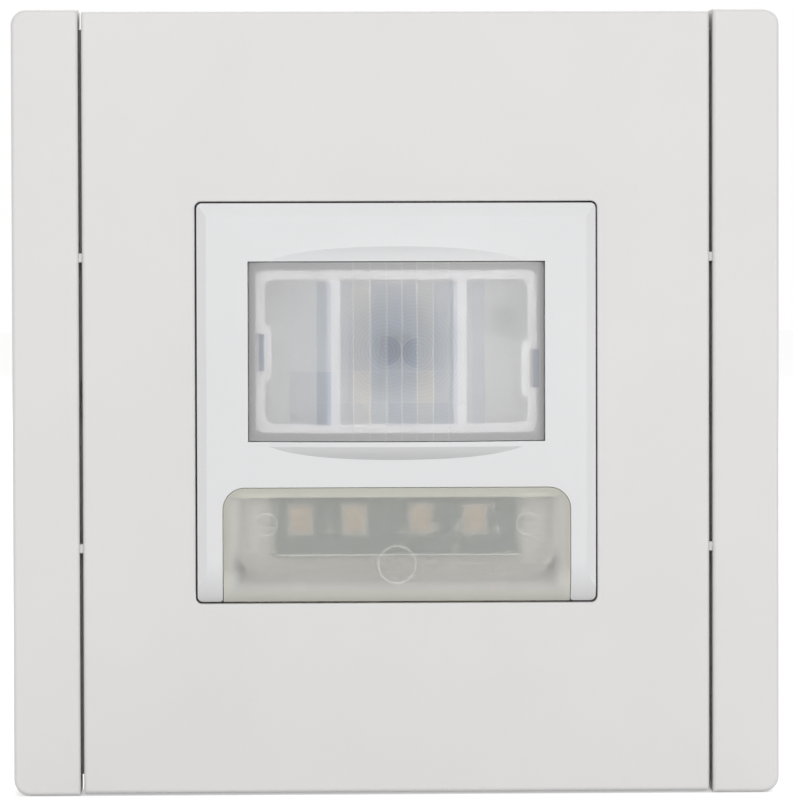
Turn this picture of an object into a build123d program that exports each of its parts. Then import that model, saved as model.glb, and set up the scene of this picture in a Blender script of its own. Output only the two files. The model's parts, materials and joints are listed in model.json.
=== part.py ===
from build123d import *
import math
import os

# Motion sensor light switch: a square insert with a faceted lens and a night light, in a three-part cover plate.
# Millimetres. X is to the right, Z is up and the front faces minus Y, with the wall plane at Y 0.
# The origin is on the wall plane, midway between the two level fixing slots.
# A distance that ends in _out runs from the wall into the room, and one that ends in _deep runs into the wall.

overrun = 1.0  # how far every cutting shape runs past what it cuts
fit_gap = 0.1  # between pieces of one assembly that plug together
seat_gap = 0.3  # between pieces that move apart

# Cover plate
plate_side_reach = 5.5
plate_end_reach = 6.5
plate_out = 8.6
plate_wall = 1.8
plate_corner_radius = 1.75
plate_edge_radius = 0.45
rail_width = 7.45
rail_inner_wall = 1.3
rail_gap = 0.38
hook_height = 1.0
hook_thickness = 1.3
hook_reach = 1.0
hook_setback = 0.7
hook_spacing = 32.6
panel_end_step = 0.18
panel_face_step = 0.12
panel_corner_radius = 0.35
insert_gap = 0.2
opening_corner_radius = 0.7
opening_wall = 1.4
opening_edge_radius = 0.15
panel_rib_thickness = 1.2
panel_rib_offset = 7.5
pry_slot_width = 8.0
pry_slot_depth = 1.2
stud_radius = 1.4
stud_inset_x = 5.6
stud_inset_z = 6.4
rail_stud_radius = 1.1
rail_stud_inset_z = 16.0

# Carrier that the panel and the rails snap onto
carrier_thickness = 1.6
carrier_lug_gap = 0.6
carrier_rim_thickness = 1.3
carrier_rim_height = 1.2
carrier_corner_radius = 1.0
clip_inset_x = 6.5
clip_inset_z = 10.5
clip_width = 4.0
clip_thickness = 1.2
clip_barb = 0.7
clip_length = 3.0

# Support frame on the wall
frame_margin = 7.35
frame_depth = 3.2
frame_skin = 1.5
frame_wall = 1.5
frame_corner_radius = 4.0
frame_window_radius = 1.0
fixing_margin = 7.8
slot_length = 8.0
slot_radius = 2.1
slot_seat = 1.6
screw_head_radius = 3.8
slot_boss_wall = 1.3
frame_rib_thickness = 1.2
frame_rib_spacing = 24.0

# Insert: the shape that the front cover and the light window share
insert_size = 44.7
insert_corner_radius = 0.6
insert_stand = 1.1
side_chamfer_width = 1.05
top_chamfer_width = 1.45
edge_drop = 0.6
roll_height = 4.2
roll_drop = 1.8
cover_wall = 1.5

# Lens and the raised lips round it
lens_side_margin = 5.8
lens_top_margin = 6.6
lens_light_gap = 5.29
lens_radius = 54.0
lens_rise = 1.8
lens_skin = 0.7
lens_side_wall = 0.8
lens_flange_side = 1.2
lens_flange_end = 2.0
lens_flange_thickness = 0.8
lip_rise = 0.1
lip_top_width = 0.15
lip_bottom_width = 0.65
lip_slope_top = 1.6
lip_slope_bottom = 1.5
lip_roll_share = 0.58
facet_pitch = 1.76
facet_count = 8
facet_shift = -0.35
facet_groove = 0.16
facet_row_shares = (-0.28, -0.105)

# White frame behind the lens
retainer_border = 1.05
retainer_bar_width = 1.5
retainer_bar_spacing = 14.1
retainer_flange_thickness = 0.8
retainer_corner_radius = 0.9
notch_depth = 0.75
notch_height = 4.25
notch_swell = 0.7
notch_round = 0.6
left_notch_z = -0.1
right_notch_z = -1.95
peg_radius = 0.5
peg_spacing = 20.0

# Translucent window over the night light
leg_width = 2.9
light_height = 12.81
light_corner_radius = 2.4
light_wall = 1.7
light_flange_width = 0.9
light_flange_lap = 0.6
light_flange_thickness = 0.7
light_gap = 0.08
side_mark_radius = 1.35
side_mark_inset = 4.85
side_mark_drop = 4.16
low_mark_radius = 2.2
low_mark_rise = 4.2
mark_ring = 0.22
mark_depth = 0.15
leg_corner_radius = 0.35

# Night light behind the window
tray_side_gap = 0.45
tray_top_rise = 0.24
tray_foot = 2.25
tray_corner_radius = 5.0
tray_wall = 0.9
tray_floor = 0.6
tray_front_gap = 0.3
post_width = 2.0
post_share = 0.6033
led_board_inset = 4.6
led_board_height = 6.9
led_board_drop = 4.51
led_board_thickness = 0.8
led_place_shares = (-0.3913, -0.1721, 0.0996, 0.3188)
led_rise_z = 0.95
led_body_width = 2.8
led_body_height = 3.5
led_body_thickness = 1.0
led_face_width = 2.1
led_face_height = 2.7
led_face_depth = 0.35
header_pitch = 2.54
header_pin = 0.64
header_count = 3
header_share = 0.25

# Rear housing
collar_thickness = 1.6
collar_overlap = 0.95
tub_setback = 1.15
tub_taper = 0.5
tub_corner_radius = 3.0
tub_wall = 1.6
tub_floor = 1.8
tub_deep = 28.0
lug_width = 9.0
lug_overlap = 1.75
latch_width = 6.0
latch_spacing = 24.0
latch_reach = 0.75
latch_ramp = 4.5
latch_catch_gap = 0.15
latch_slit = 0.8
latch_length = 9.0
arm_width = 5.0
arm_thickness = 1.2
arm_inset = 0.25
arm_barb = 0.7
arm_barb_length = 1.4
arm_deep = 1.6
arm_high_z = 12.0
arm_low_z = -3.0
arm_window_gap = 0.25
vent_count = 6
vent_width = 1.1
vent_length = 9.0
vent_pitch = 2.6
ledge_size = 3.4

# Boards
board_thickness = 1.2
sensor_board_deep = 2.2
sensor_board_side_gap = 0.55
sensor_board_end_gap = 0.4
power_board_deep = 14.6
power_board_gap = 0.5
board_corner_cut = 2.2
board_screw_radius = 0.8
board_screw_head_radius = 1.7
board_screw_head_height = 1.2
board_screw_head_round = 0.4
board_screw_cross = 0.5
board_boss_radius = 1.7
board_screw_inset = 2.75
board_boss_gap = 0.15

# Heat sensor and the small parts on the sensor board
sensor_rise = 0.35
can_radius = 4.1
can_flange_radius = 4.6
can_flange_thickness = 0.5
can_height = 3.9
can_edge_radius = 0.4
filter_width = 4.2
filter_height = 3.4
filter_thickness = 0.4
can_stand = 0.9
shroud_side_gap = 0.45
shroud_end_gap = 0.5
shroud_wall = 1.0
shroud_floor = 0.8
shroud_corner_radius = 2.0
cell_radius = 1.5
cell_height = 3.0
cell_inset = 3.95
cell_rise = 3.25
chip_width = 6.2
chip_length = 8.6
chip_thickness = 1.5
chip_gap = 0.25
chip_lead_width = 0.45
chip_lead_pitch = 1.27
chip_lead_reach = 0.9
chip_lead_count = 6

# Pins between the boards
link_pitch = 2.54
link_count = 7
link_bar = 2.4
link_pin = 0.64
link_inset = 4.2

# Relay on the power board
relay_inset = 1.3
relay_z = 3.4
relay_length = 15.4
relay_width = 13.4
relay_height = 10.4
relay_wall = 0.7
relay_base_thickness = 1.4
coil_radius = 2.6
coil_length = 8.6
bobbin_radius = 3.1
bobbin_flange = 0.7
core_radius = 1.4
yoke_thickness = 1.1
yoke_width = 7.4
coil_axis_height = 5.9
armature_thickness = 1.0
armature_gap = 0.55
armature_knife = 0.3
contact_width = 3.0
contact_post_width = 1.5
contact_thickness = 0.4
contact_gap = 0.5
button_radius = 0.8
button_height = 0.45
button_drop = 1.2

# Other parts on the power board
film_length = 12.6
film_width = 5.4
film_height = 9.6
film_inset = 8.4
film_gap = 2.3
film_corner_radius = 0.8
can_cap_radius = 4.0
can_cap_length = 9.0
can_cap_inset = 5.1
can_cap_gap = 2.5
can_cap_groove = 0.3
varistor_radius = 3.6
varistor_thickness = 2.8
varistor_edge_radius = 0.9
varistor_stand = 1.2
varistor_inset = 4.2
varistor_z = -10.8
fuse_radius = 1.5
fuse_waist = 0.25
fuse_length = 7.0
fuse_z = -5.6
lead_radius = 0.3

# Setting dials on the back
dial_spacing = 18.0
dial_top_margin = 9.7
dial_radius = 3.2
dial_running_gap = 0.06
dial_recess = 0.3
dial_slot_width = 1.0
dial_slot_depth = 1.2
dial_stem_radius = 1.5
dial_collar_radius = 4.0
dial_collar_thickness = 0.9
dial_collar_gap = 0.2
dial_pointer_width = 0.5
dial_tick_count = 7
dial_tick_length = 1.3
dial_tick_width = 0.35
dial_tick_radius = 4.3
dial_turn = 270.0
trimmer_size = 6.8
trimmer_corner_radius = 0.7
trimmer_share = 0.516
trimmer_bore_gap = 0.08

# Terminals
terminal_pitch = 9.0
terminal_count = 3
block_end = 1.5
block_wall = 0.8
block_gap = 0.2
block_edge_radius = 0.5
wire_radius = 1.6
wire_funnel = 1.0
clamp_width = 6.2
clamp_depth = 5.0
clamp_wall = 1.0
clamp_nut_wall = 2.0
clamp_setback = 5.1
clamp_travel = 2.4
clamp_gap = 0.3
bar_width = 3.4
bar_thickness = 1.0
screw_length = 7.6
bar_tail_width = 1.6
screw_radius = 1.5
screw_thread_gap = 0.06
screw_neck_gap = 0.25
screw_head_height = 1.7
screw_sink = 3.3
screw_head_gap = 0.35
screw_head_wide = 2.5
screw_slot_width = 0.8
screw_slot_depth = 0.9

# Worked out from the sizes above
insert_half = insert_size / 2
opening_size = insert_size + 2 * insert_gap
fixing_spacing = insert_size + 2 * fixing_margin
frame_size = fixing_spacing + 2 * frame_margin
frame_window = insert_size + 2 * seat_gap
plate_width = frame_size + 2 * plate_side_reach
plate_height = frame_size + 2 * plate_end_reach
clip_spacing_x = frame_size - 2 * clip_inset_x
clip_spacing_z = frame_size - 2 * clip_inset_z
rail_stud_spacing = plate_height - 2 * rail_stud_inset_z
lug_reach = insert_half + lug_overlap
carrier_opening = 2 * (lug_reach + carrier_lug_gap)
tub_size = insert_size - 2 * tub_setback
tub_back_size = tub_size - 2 * tub_taper
panel_out = plate_out - panel_face_step
panel_width = plate_width - 2 * rail_width - 2 * rail_gap
panel_height = plate_height - 2 * panel_end_step
carrier_back_out = frame_depth + seat_gap
carrier_out = carrier_back_out + carrier_thickness
carrier_width = plate_width - 2 * plate_wall - 2 * fit_gap
carrier_height = panel_height - 2 * plate_wall - 2 * fit_gap
face_out = panel_out + insert_stand
collar_out = frame_depth + collar_thickness
light_width = insert_size - 2 * leg_width
light_top_z = light_height - insert_half
lens_width = insert_size - 2 * lens_side_margin
lens_height = insert_size - lens_top_margin - lens_light_gap - light_height
lens_centre_z = insert_half - lens_top_margin - lens_height / 2
lens_front_out = face_out + lens_rise
lens_axis_deep = lens_radius - lens_front_out
flange_out = face_out - cover_wall - fit_gap
lens_flange_width = lens_width + 2 * lens_flange_side
lens_flange_height = lens_height + 2 * lens_flange_end
retainer_width = lens_width - 2 * lens_side_wall - fit_gap
retainer_height = lens_height - 2 * lens_side_wall - 2 * fit_gap
tray_top_out = face_out - cover_wall - fit_gap - light_flange_thickness - tray_front_gap
tray_width = light_width - 2 * (light_flange_lap + tray_side_gap)
tray_top_z = light_top_z + tray_top_rise
tray_bottom_z = tray_foot - insert_half
tray_floor_out = collar_out
led_board_width = tray_width - 2 * led_board_inset
led_board_centre_z = light_top_z - led_board_drop
led_board_out = tray_floor_out + tray_floor + led_board_thickness
tub_inner_deep = tub_deep - tub_floor
sensor_board_back = sensor_board_deep + board_thickness
power_board_back = power_board_deep + board_thickness
sensor_board_width = tub_size - 2 * (tub_wall + arm_inset + arm_thickness + sensor_board_side_gap)
sensor_board_height = tub_size - 2 * (tub_wall + sensor_board_end_gap)
board_screw_x = lens_width / 2 - board_screw_inset
board_screw_z = lens_centre_z + lens_height / 2 + board_boss_gap + board_boss_radius
link_z = sensor_board_height / 2 - link_inset
sensor_z = lens_centre_z + sensor_rise
cell_x = lens_width / 2 - cell_inset
cell_z = lens_centre_z + cell_rise
shroud_width = lens_width - 2 * shroud_side_gap
shroud_height = lens_height - 2 * shroud_end_gap
chip_z = lens_centre_z - shroud_height / 2 - chip_gap - chip_width / 2 - chip_lead_reach
shroud_out = flange_out - lens_flange_thickness - retainer_flange_thickness - 2 * fit_gap
tub_taper_at_board = 2 * tub_taper * (power_board_back + frame_depth) / (tub_deep + frame_depth)
power_board_size = tub_size - tub_taper_at_board - 2 * (tub_wall + power_board_gap)
relay_floor_deep = power_board_deep
relay_x = relay_inset + (relay_length - power_board_size) / 2
film_x = power_board_size / 2 - film_inset
film_z = link_z - (link_bar + film_length) / 2 - film_gap
can_cap_z = film_z - film_length / 2 - can_cap_gap - can_cap_radius
can_cap_x = (power_board_size - can_cap_length) / 2 - can_cap_inset
varistor_x = varistor_inset - power_board_size / 2
fuse_x = relay_x
dial_z = tub_back_size / 2 - dial_top_margin
dial_collar_deep = tub_inner_deep - dial_collar_gap - dial_collar_thickness
trimmer_height = trimmer_share * (dial_collar_deep - power_board_back)
trimmer_top_deep = power_board_back + trimmer_height
block_width = terminal_count * terminal_pitch + 2 * block_end
block_front_deep = power_board_back + seat_gap
block_back_deep = tub_deep - fit_gap
block_bottom_z = -tub_back_size / 2
clamp_centre_deep = block_front_deep + clamp_setback
screw_top_z = block_bottom_z + screw_sink
bar_z = screw_top_z + screw_length
bar_top_z = bar_z + bar_thickness / 2
clamp_far_z = bar_top_z + 2 * wire_radius + 2 * fit_gap
block_top_z = clamp_far_z + clamp_wall + clamp_gap + block_wall
wire_z = (bar_top_z + clamp_far_z) / 2
blade_top_deep = relay_floor_deep - relay_height + relay_wall + seat_gap
button_deep = blade_top_deep + button_drop


def level(out):
    # A drawing plane parallel to the wall, with X to the right and Z up
    return Plane.XZ.offset(out)


def slab(outline, low, high):
    # A plate between two distances out from the wall
    return extrude(level(low) * outline, amount=high - low)


def bar_between(outline_plane, outline, length):
    # A bar of even section, centred on the plane that its section is drawn on
    return extrude(outline_plane * outline, amount=length / 2, both=True)


def mirrored_pair(piece):
    return piece + mirror(piece, about=Plane.YZ)


def four_ways(spacing_x, spacing_z):
    return [(x, z) for x in (-spacing_x / 2, spacing_x / 2) for z in (-spacing_z / 2, spacing_z / 2)]


def row(count, pitch):
    return [(i - (count - 1) / 2) * pitch for i in range(count)]


def drawn(points):
    # A closed outline through points given as right and up on the plane that it is placed on
    return make_face(Polyline(*points, close=True))


def front_edges(piece, axis_out):
    # The edges that lie wholly on the plane this far out from the wall
    return piece.edges().filter_by_position(Axis.Y, -axis_out - fit_gap / 100, -axis_out + fit_gap / 100)


# Cover plate


def stud_places():
    sides = four_ways(panel_width - 2 * stud_inset_x, panel_height - 2 * stud_inset_z)
    return sides + [(0, (panel_height / 2 - stud_inset_z)), (0, -(panel_height / 2 - stud_inset_z))]


def rail_stud_places(side):
    across = side * (plate_width / 2 - plate_wall - rail_stud_radius - fit_gap)
    return [(across, z) for z in (-rail_stud_spacing / 2, rail_stud_spacing / 2)]


def hook_places():
    return [-hook_spacing / 2, hook_spacing / 2]


def carrier_relief():
    # Room for the carrier below the side walls, which end on it
    return slab(
        Rectangle(plate_width, carrier_height + 2 * fit_gap),
        -overrun,
        carrier_out,
    )


def centre_panel():
    body = slab(RectangleRounded(panel_width, panel_height, panel_corner_radius), 0, panel_out)
    body = fillet(front_edges(body, panel_out), plate_edge_radius)
    inside = Rectangle(panel_width - 2 * plate_wall, panel_height - 2 * plate_wall)
    body -= slab(inside, -overrun, panel_out - plate_wall)
    skirt = opening_size + 2 * opening_wall
    skirt_outline = RectangleRounded(skirt, skirt, opening_corner_radius + opening_wall)
    body += slab(skirt_outline, collar_out + seat_gap, panel_out - plate_wall)
    for side in (-1, 1):
        rib = Pos(0, side * (opening_size / 2 + panel_rib_offset)) * Rectangle(
            panel_width - plate_wall, panel_rib_thickness
        )
        body += slab(rib, carrier_out + fit_gap, panel_out - plate_wall)
    body -= carrier_relief()
    for x, z in stud_places():
        body += slab(Pos(x, z) * Circle(stud_radius), carrier_back_out, panel_out - plate_wall)
    opening = RectangleRounded(opening_size, opening_size, opening_corner_radius)
    body -= slab(opening, 0, panel_out + overrun)
    rim = [
        edge
        for edge in front_edges(body, panel_out)
        if abs(edge.center().X) < opening_size / 2 + fit_gap and abs(edge.center().Z) < opening_size / 2 + fit_gap
    ]
    body = fillet(rim, opening_edge_radius)
    for z in hook_places():
        for side in (-1, 1):
            slot = Pos(side * panel_width / 2, z) * Rectangle(2 * (hook_reach + fit_gap), hook_height + 2 * fit_gap)
            high = plate_out - hook_setback
            body -= slab(slot, high - hook_thickness - fit_gap, high + fit_gap)
    pry = Pos(0, -panel_height / 2) * Rectangle(pry_slot_width, 2 * (plate_wall + overrun))
    return body - slab(pry, -overrun, pry_slot_depth)


def rail(side):
    outline = Rectangle(rail_width, plate_height)
    outer = outline.vertices().group_by(Axis.X)[-1 if side > 0 else 0]
    outline = fillet(outer, plate_corner_radius)
    middle = side * (plate_width - rail_width) / 2
    body = slab(Pos(middle, 0) * outline, 0, plate_out)
    body = fillet(front_edges(body, plate_out), plate_edge_radius)
    inner_face = plate_width / 2 - rail_width
    hollow_low = inner_face + rail_inner_wall
    hollow_high = plate_width / 2 - plate_wall
    hollow = Pos(side * (hollow_low + hollow_high) / 2, 0) * Rectangle(
        hollow_high - hollow_low, carrier_height + 2 * fit_gap
    )
    body -= slab(hollow, -overrun, plate_out - plate_wall)
    relief = Pos(side * hollow_high / 2, 0) * Rectangle(hollow_high, carrier_height + 2 * fit_gap)
    body -= slab(relief, -overrun, carrier_out)
    for x, z in rail_stud_places(side):
        body += slab(Pos(x, z) * Circle(rail_stud_radius), carrier_back_out, plate_out - plate_wall)
    for z in hook_places():
        reach = rail_gap + hook_reach
        hook = Pos(side * (inner_face - reach / 2 + rail_inner_wall / 2), z) * Rectangle(
            reach + rail_inner_wall, hook_height
        )
        high = plate_out - hook_setback
        body += slab(hook, high - hook_thickness, high)
    return body


def clip_arm(side):
    # Seen from above: a leg that runs back from the carrier, with a barb that leans outwards
    barb = clip_thickness / 2 + clip_barb
    root = carrier_back_out
    tip = root - clip_length
    points = [
        (-clip_thickness / 2, -root),
        (clip_thickness / 2, -root),
        (clip_thickness / 2, -(root - clip_length / 2)),
        (barb, -(root - clip_length / 2 - clip_barb / 2)),
        (clip_thickness / 2, -tip),
        (-clip_thickness / 2, -tip),
    ]
    leg = bar_between(Plane.XY, drawn([(side * x, y) for x, y in points]), clip_width)
    return leg


def plate_carrier():
    base = slab(
        RectangleRounded(carrier_width, carrier_height, carrier_corner_radius), carrier_back_out, carrier_out
    )
    rim = carrier_opening + 2 * carrier_rim_thickness
    base += slab(RectangleRounded(rim, rim, carrier_rim_thickness), carrier_out, carrier_out + carrier_rim_height)
    base -= slab(
        RectangleRounded(carrier_opening, carrier_opening, opening_corner_radius),
        carrier_back_out - overrun,
        carrier_out + carrier_rim_height + overrun,
    )
    for x, z, turn in fixing_places():
        relief = Pos(x, z) * Rot(0, 0, turn) * head_outline(seat_gap)
        base -= slab(relief, carrier_back_out - overrun, carrier_out + carrier_rim_height + overrun)
    studs = [(x, z, stud_radius) for x, z in stud_places()]
    for side in (-1, 1):
        studs += [(x, z, rail_stud_radius) for x, z in rail_stud_places(side)]
    for x, z, radius in studs:
        base -= slab(Pos(x, z) * Circle(radius + fit_gap), carrier_back_out - overrun, carrier_out + overrun)
    for x, z in four_ways(clip_spacing_x, clip_spacing_z):
        base += Pos(x, 0, z) * clip_arm(math.copysign(1, x))
    return base


# Support frame


def fixing_places():
    half = fixing_spacing / 2
    return [(half, 0, 0), (-half, 0, 0), (0, half, 90), (0, -half, 90)]


def head_outline(gap):
    # The way that a fixing screw's head can take along its slot
    reach = slot_length - 2 * slot_radius + 2 * (screw_head_radius + gap)
    return SlotOverall(reach, 2 * (screw_head_radius + gap))


def support_frame():
    outer = RectangleRounded(frame_size, frame_size, frame_corner_radius)
    inside = frame_size - 2 * frame_wall
    body = slab(outer, 0, frame_depth)
    body -= slab(
        RectangleRounded(inside, inside, frame_corner_radius - frame_wall), -overrun, frame_depth - frame_skin
    )
    rib_start = lug_reach + seat_gap
    rib_end = frame_size / 2 - frame_wall / 2
    for offset in (-frame_rib_spacing / 2, frame_rib_spacing / 2):
        for side in (-1, 1):
            middle = side * (rib_start + rib_end) / 2
            across = Pos(middle, offset) * Rectangle(rib_end - rib_start, frame_rib_thickness)
            upright = Pos(offset, middle) * Rectangle(frame_rib_thickness, rib_end - rib_start)
            body += slab(across + upright, 0, frame_depth - frame_skin / 2)
    for x, z, turn in fixing_places():
        place = Pos(x, z) * Rot(0, 0, turn)
        body += slab(place * head_outline(slot_boss_wall), 0, frame_depth)
        body -= slab(place * head_outline(0), slot_seat, frame_depth + overrun)
        body -= slab(place * SlotOverall(slot_length, 2 * slot_radius), -overrun, frame_depth)
    body -= slab(
        RectangleRounded(frame_window, frame_window, frame_window_radius), -overrun, frame_depth + overrun
    )
    hole_width = clip_thickness + clip_barb + 2 * fit_gap
    for x, z in four_ways(clip_spacing_x, clip_spacing_z):
        shift = math.copysign(clip_barb / 2, x)
        hole = Pos(x + shift, z) * Rectangle(hole_width, clip_width + 2 * fit_gap)
        body -= slab(hole, -overrun, frame_depth + overrun)
    return body


# Front of the insert


def insert_shape(inset, back_out):
    # The insert's outer form drawn in by an even amount: square from the front, with a bevel
    # at its top and sides and a rolled lower edge
    half = insert_half - inset
    face = face_out - inset
    side = [
        (-back_out, -half),
        (-back_out, half),
        (-(face - edge_drop), half),
        (-face, half - top_chamfer_width),
        (-face, roll_height - half),
        (-(face - roll_drop), -half),
    ]
    lines = Polyline(*side[:5]) + TangentArc(side[4], side[5], tangent=(0, -1)) + Line(side[5], side[0])
    profile = bar_between(Plane.YZ, make_face(lines), insert_size)
    from_above = [
        (-half, -back_out),
        (-half, -(face - edge_drop)),
        (side_chamfer_width - half, -face),
        (half - side_chamfer_width, -face),
        (half, -(face - edge_drop)),
        (half, -back_out),
    ]
    bevel = bar_between(Plane.XY, drawn(from_above), insert_size)
    outline = RectangleRounded(2 * half, 2 * half, insert_corner_radius)
    return profile & bevel & slab(outline, back_out, face_out)


def lens_cylinder(radius, height):
    # An upright cylinder about the line that the lens is curved round
    return Pos(0, lens_axis_deep, lens_centre_z) * Cylinder(radius, height)


def lens_lips():
    # The raised ground round the lens: a barrel about the lens's own axis, whose ends roll down to the face,
    # so that each end shows as a crescent
    radius = lens_radius + lip_rise
    drop = lens_rise + lip_rise
    inner = radius - drop - cover_wall
    high = lens_height / 2 + lip_top_width
    low = -(lens_height / 2 + lip_bottom_width)
    foot_high = high + lip_slope_top
    foot_low = low - lip_slope_bottom
    bend = 1 - lip_roll_share
    roll_high = (radius - bend * drop, high + lip_roll_share * lip_slope_top)
    roll_low = (radius - bend * drop, low - lip_roll_share * lip_slope_bottom)
    lines = Polyline((radius - drop, foot_low), (inner, foot_low), (inner, foot_high), (radius - drop, foot_high))
    lines += ThreePointArc((radius - drop, foot_high), roll_high, (radius, high))
    lines += Line((radius, high), (radius, low))
    lines += ThreePointArc((radius, low), roll_low, (radius - drop, foot_low))
    barrel = Pos(0, lens_axis_deep, lens_centre_z) * revolve(Plane.XZ * make_face(lines), Axis.Z)
    return barrel & slab(Rectangle(lens_width, insert_size), face_out - cover_wall, lens_front_out + overrun)


def light_outline(grow):
    # The light window's outline, with round upper corners, running out past the lower edge
    top = light_top_z + grow
    bottom = -insert_half - overrun
    outline = Rectangle(light_width + 2 * grow, top - bottom)
    upper = outline.vertices().group_by(Axis.Y)[-1]
    return Pos(0, (top + bottom) / 2) * fillet(upper, light_corner_radius + grow)


def arm_places():
    return [(side, z) for side in (-1, 1) for z in (arm_low_z, arm_high_z)]


def tub_inner_half():
    return tub_size / 2 - tub_wall


def cover_arm(side):
    # Seen from above: a long leg inside the housing's wall, with a barb near its end
    outer = tub_inner_half() - arm_inset
    inner = outer - arm_thickness
    high = face_out - cover_wall
    points = [
        (inner, -high),
        (outer, -high),
        (outer, arm_deep - arm_barb_length),
        (outer + arm_barb, arm_deep - arm_barb_length),
        (outer, arm_deep),
        (inner, arm_deep),
    ]
    return bar_between(Plane.XY, drawn([(side * x, y) for x, y in points]), arm_width)


def front_bezel():
    body = insert_shape(0, collar_out)
    body -= insert_shape(cover_wall, collar_out - overrun)
    body += lens_lips()
    hole_width = lens_width + 2 * fit_gap
    hole_height = lens_height + 2 * fit_gap
    window = Pos(0, lens_centre_z) * Rectangle(hole_width, hole_height)
    body -= slab(window, collar_out, lens_front_out + overrun)
    body -= slab(light_outline(light_gap), collar_out - overrun, face_out + overrun)
    feet = body.edges().filter_by(Axis.Y).group_by(Axis.Z)[0]
    feet = [edge for edge in feet if abs(edge.center().X) < light_width / 2 + 2 * light_gap]
    body = fillet(feet, leg_corner_radius) if feet else body
    for side, z in arm_places():
        body += Pos(0, 0, z) * cover_arm(side)
    for x in (-peg_spacing / 2, peg_spacing / 2):
        for side in (-1, 1):
            z = lens_centre_z + side * (lens_height + lens_flange_end) / 2
            low = flange_out - lens_flange_thickness - retainer_flange_thickness
            body += slab(Pos(x, z) * Circle(peg_radius), low, face_out - cover_wall)
    for x, z in board_screw_places():
        boss = Pos(x, z) * (Circle(board_boss_radius) - Circle(board_screw_radius))
        body += slab(boss, -sensor_board_deep, face_out - cover_wall)
    return body


def board_screw_places():
    return [(-board_screw_x, board_screw_z), (board_screw_x, board_screw_z)]


def lens_flange(low, high):
    # The flange round the lens, with room at the top for the screw bosses
    outline = Pos(0, lens_centre_z) * Rectangle(lens_flange_width, lens_flange_height)
    for x, z in board_screw_places():
        outline -= Pos(x, z) * Circle(board_boss_radius + fit_gap)
    for x in (-peg_spacing / 2, peg_spacing / 2):
        for side in (-1, 1):
            place = Pos(x, lens_centre_z + side * (lens_height + lens_flange_end) / 2)
            outline -= place * Circle(peg_radius + fit_gap / 2)
    return slab(outline, low, high)


def facet_grooves():
    # Upright grooves between the middle facets, and two level ones, cut into the lens's inner face
    inner = lens_radius - lens_skin
    inside = Rectangle(lens_width - 2 * lens_side_wall, lens_height - 2 * lens_side_wall)
    hollow = slab(Pos(0, lens_centre_z) * inside, collar_out, lens_front_out)
    grooves = []
    for place in row(facet_count, facet_pitch):
        x = place + facet_shift
        angle = math.degrees(math.asin(x / inner))
        groove = Rot(0, 0, 45) * Box(facet_groove, facet_groove, lens_height - 2 * lens_side_wall)
        grooves.append(Pos(0, lens_axis_deep, lens_centre_z) * Rot(0, 0, angle) * Pos(0, -inner, 0) * groove)
    for share in facet_row_shares:
        ring = Rot(0, 0, 45) * Rectangle(facet_groove, facet_groove)
        band = revolve(Plane.XZ * Pos(inner, 0) * ring, Axis.Z)
        grooves.append(hollow & (Pos(0, lens_axis_deep, lens_centre_z + share * lens_height) * band))
    return grooves


def fresnel_lens():
    low = flange_out - lens_flange_thickness
    inner_width = lens_width - 2 * lens_side_wall
    inner_height = lens_height - 2 * lens_side_wall
    centre = Pos(0, lens_centre_z)
    block = slab(centre * Rectangle(lens_width, lens_height), low, lens_front_out + overrun)
    block &= lens_cylinder(lens_radius, insert_size)
    cavity = slab(centre * Rectangle(inner_width, inner_height), low - overrun, lens_front_out + overrun)
    cavity &= lens_cylinder(lens_radius - lens_skin, insert_size)
    block += lens_flange(low, flange_out)
    block -= cavity
    for groove in facet_grooves():
        block -= groove
    return block


def retainer_outline():
    # The frame from the front: a rounded border that swells inwards round a notch at each side
    outer = RectangleRounded(retainer_width, retainer_height, retainer_corner_radius)
    inner_width = retainer_width - 2 * retainer_border
    inner_height = retainer_height - 2 * retainer_border
    hole = RectangleRounded(inner_width, inner_height, retainer_corner_radius)
    for side, z in ((-1, left_notch_z), (1, right_notch_z)):
        swell_height = notch_height + 2 * retainer_border
        hole -= Pos(side * inner_width / 2, z) * RectangleRounded(2 * notch_swell, swell_height, notch_round)
    for x in (-retainer_bar_spacing / 2, retainer_bar_spacing / 2):
        hole -= Pos(x, 0) * Rectangle(retainer_bar_width, inner_height)
    frame = outer - hole
    for side, z in ((-1, left_notch_z), (1, right_notch_z)):
        frame -= Pos(side * retainer_width / 2, z) * Rectangle(2 * notch_depth, notch_height)
    return frame


def lens_retainer():
    top = flange_out - lens_flange_thickness
    low = top - retainer_flange_thickness
    centre = Pos(0, lens_centre_z)
    frame = slab(centre * retainer_outline(), low, lens_front_out)
    frame &= lens_cylinder(lens_radius - lens_skin - fit_gap, insert_size)
    middle = Rectangle(retainer_width - retainer_border, retainer_height - retainer_border)
    return frame + (lens_flange(low, top) - slab(centre * middle, low - overrun, top + overrun))


def pin_marks():
    # Shallow ring grooves that the mould's pins leave on the window's inner face
    across = light_width / 2 - side_mark_inset
    marks = [(x, light_top_z - side_mark_drop, side_mark_radius) for x in (-across, across)]
    marks.append((0, low_mark_rise - insert_half, low_mark_radius))
    inner = face_out - light_wall
    rings = [
        slab(Pos(x, z) * (Circle(radius) - Circle(radius - mark_ring)), inner - overrun, inner + mark_depth)
        for x, z, radius in marks
    ]
    return rings


def light_window():
    shell = insert_shape(0, collar_out) - insert_shape(light_wall, collar_out - overrun)
    body = shell & slab(light_outline(0), collar_out, face_out + overrun)
    ring_out = cover_wall + fit_gap
    flange = insert_shape(ring_out, collar_out) - insert_shape(
        ring_out + light_flange_thickness, collar_out - overrun
    )
    low = face_out - ring_out - light_flange_thickness - roll_drop
    flange &= slab(light_outline(light_flange_width), low, face_out)
    flange -= slab(light_outline(-light_flange_lap), low - overrun, face_out)
    body += flange
    for ring in pin_marks():
        body -= ring
    return body


# Night light


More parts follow.
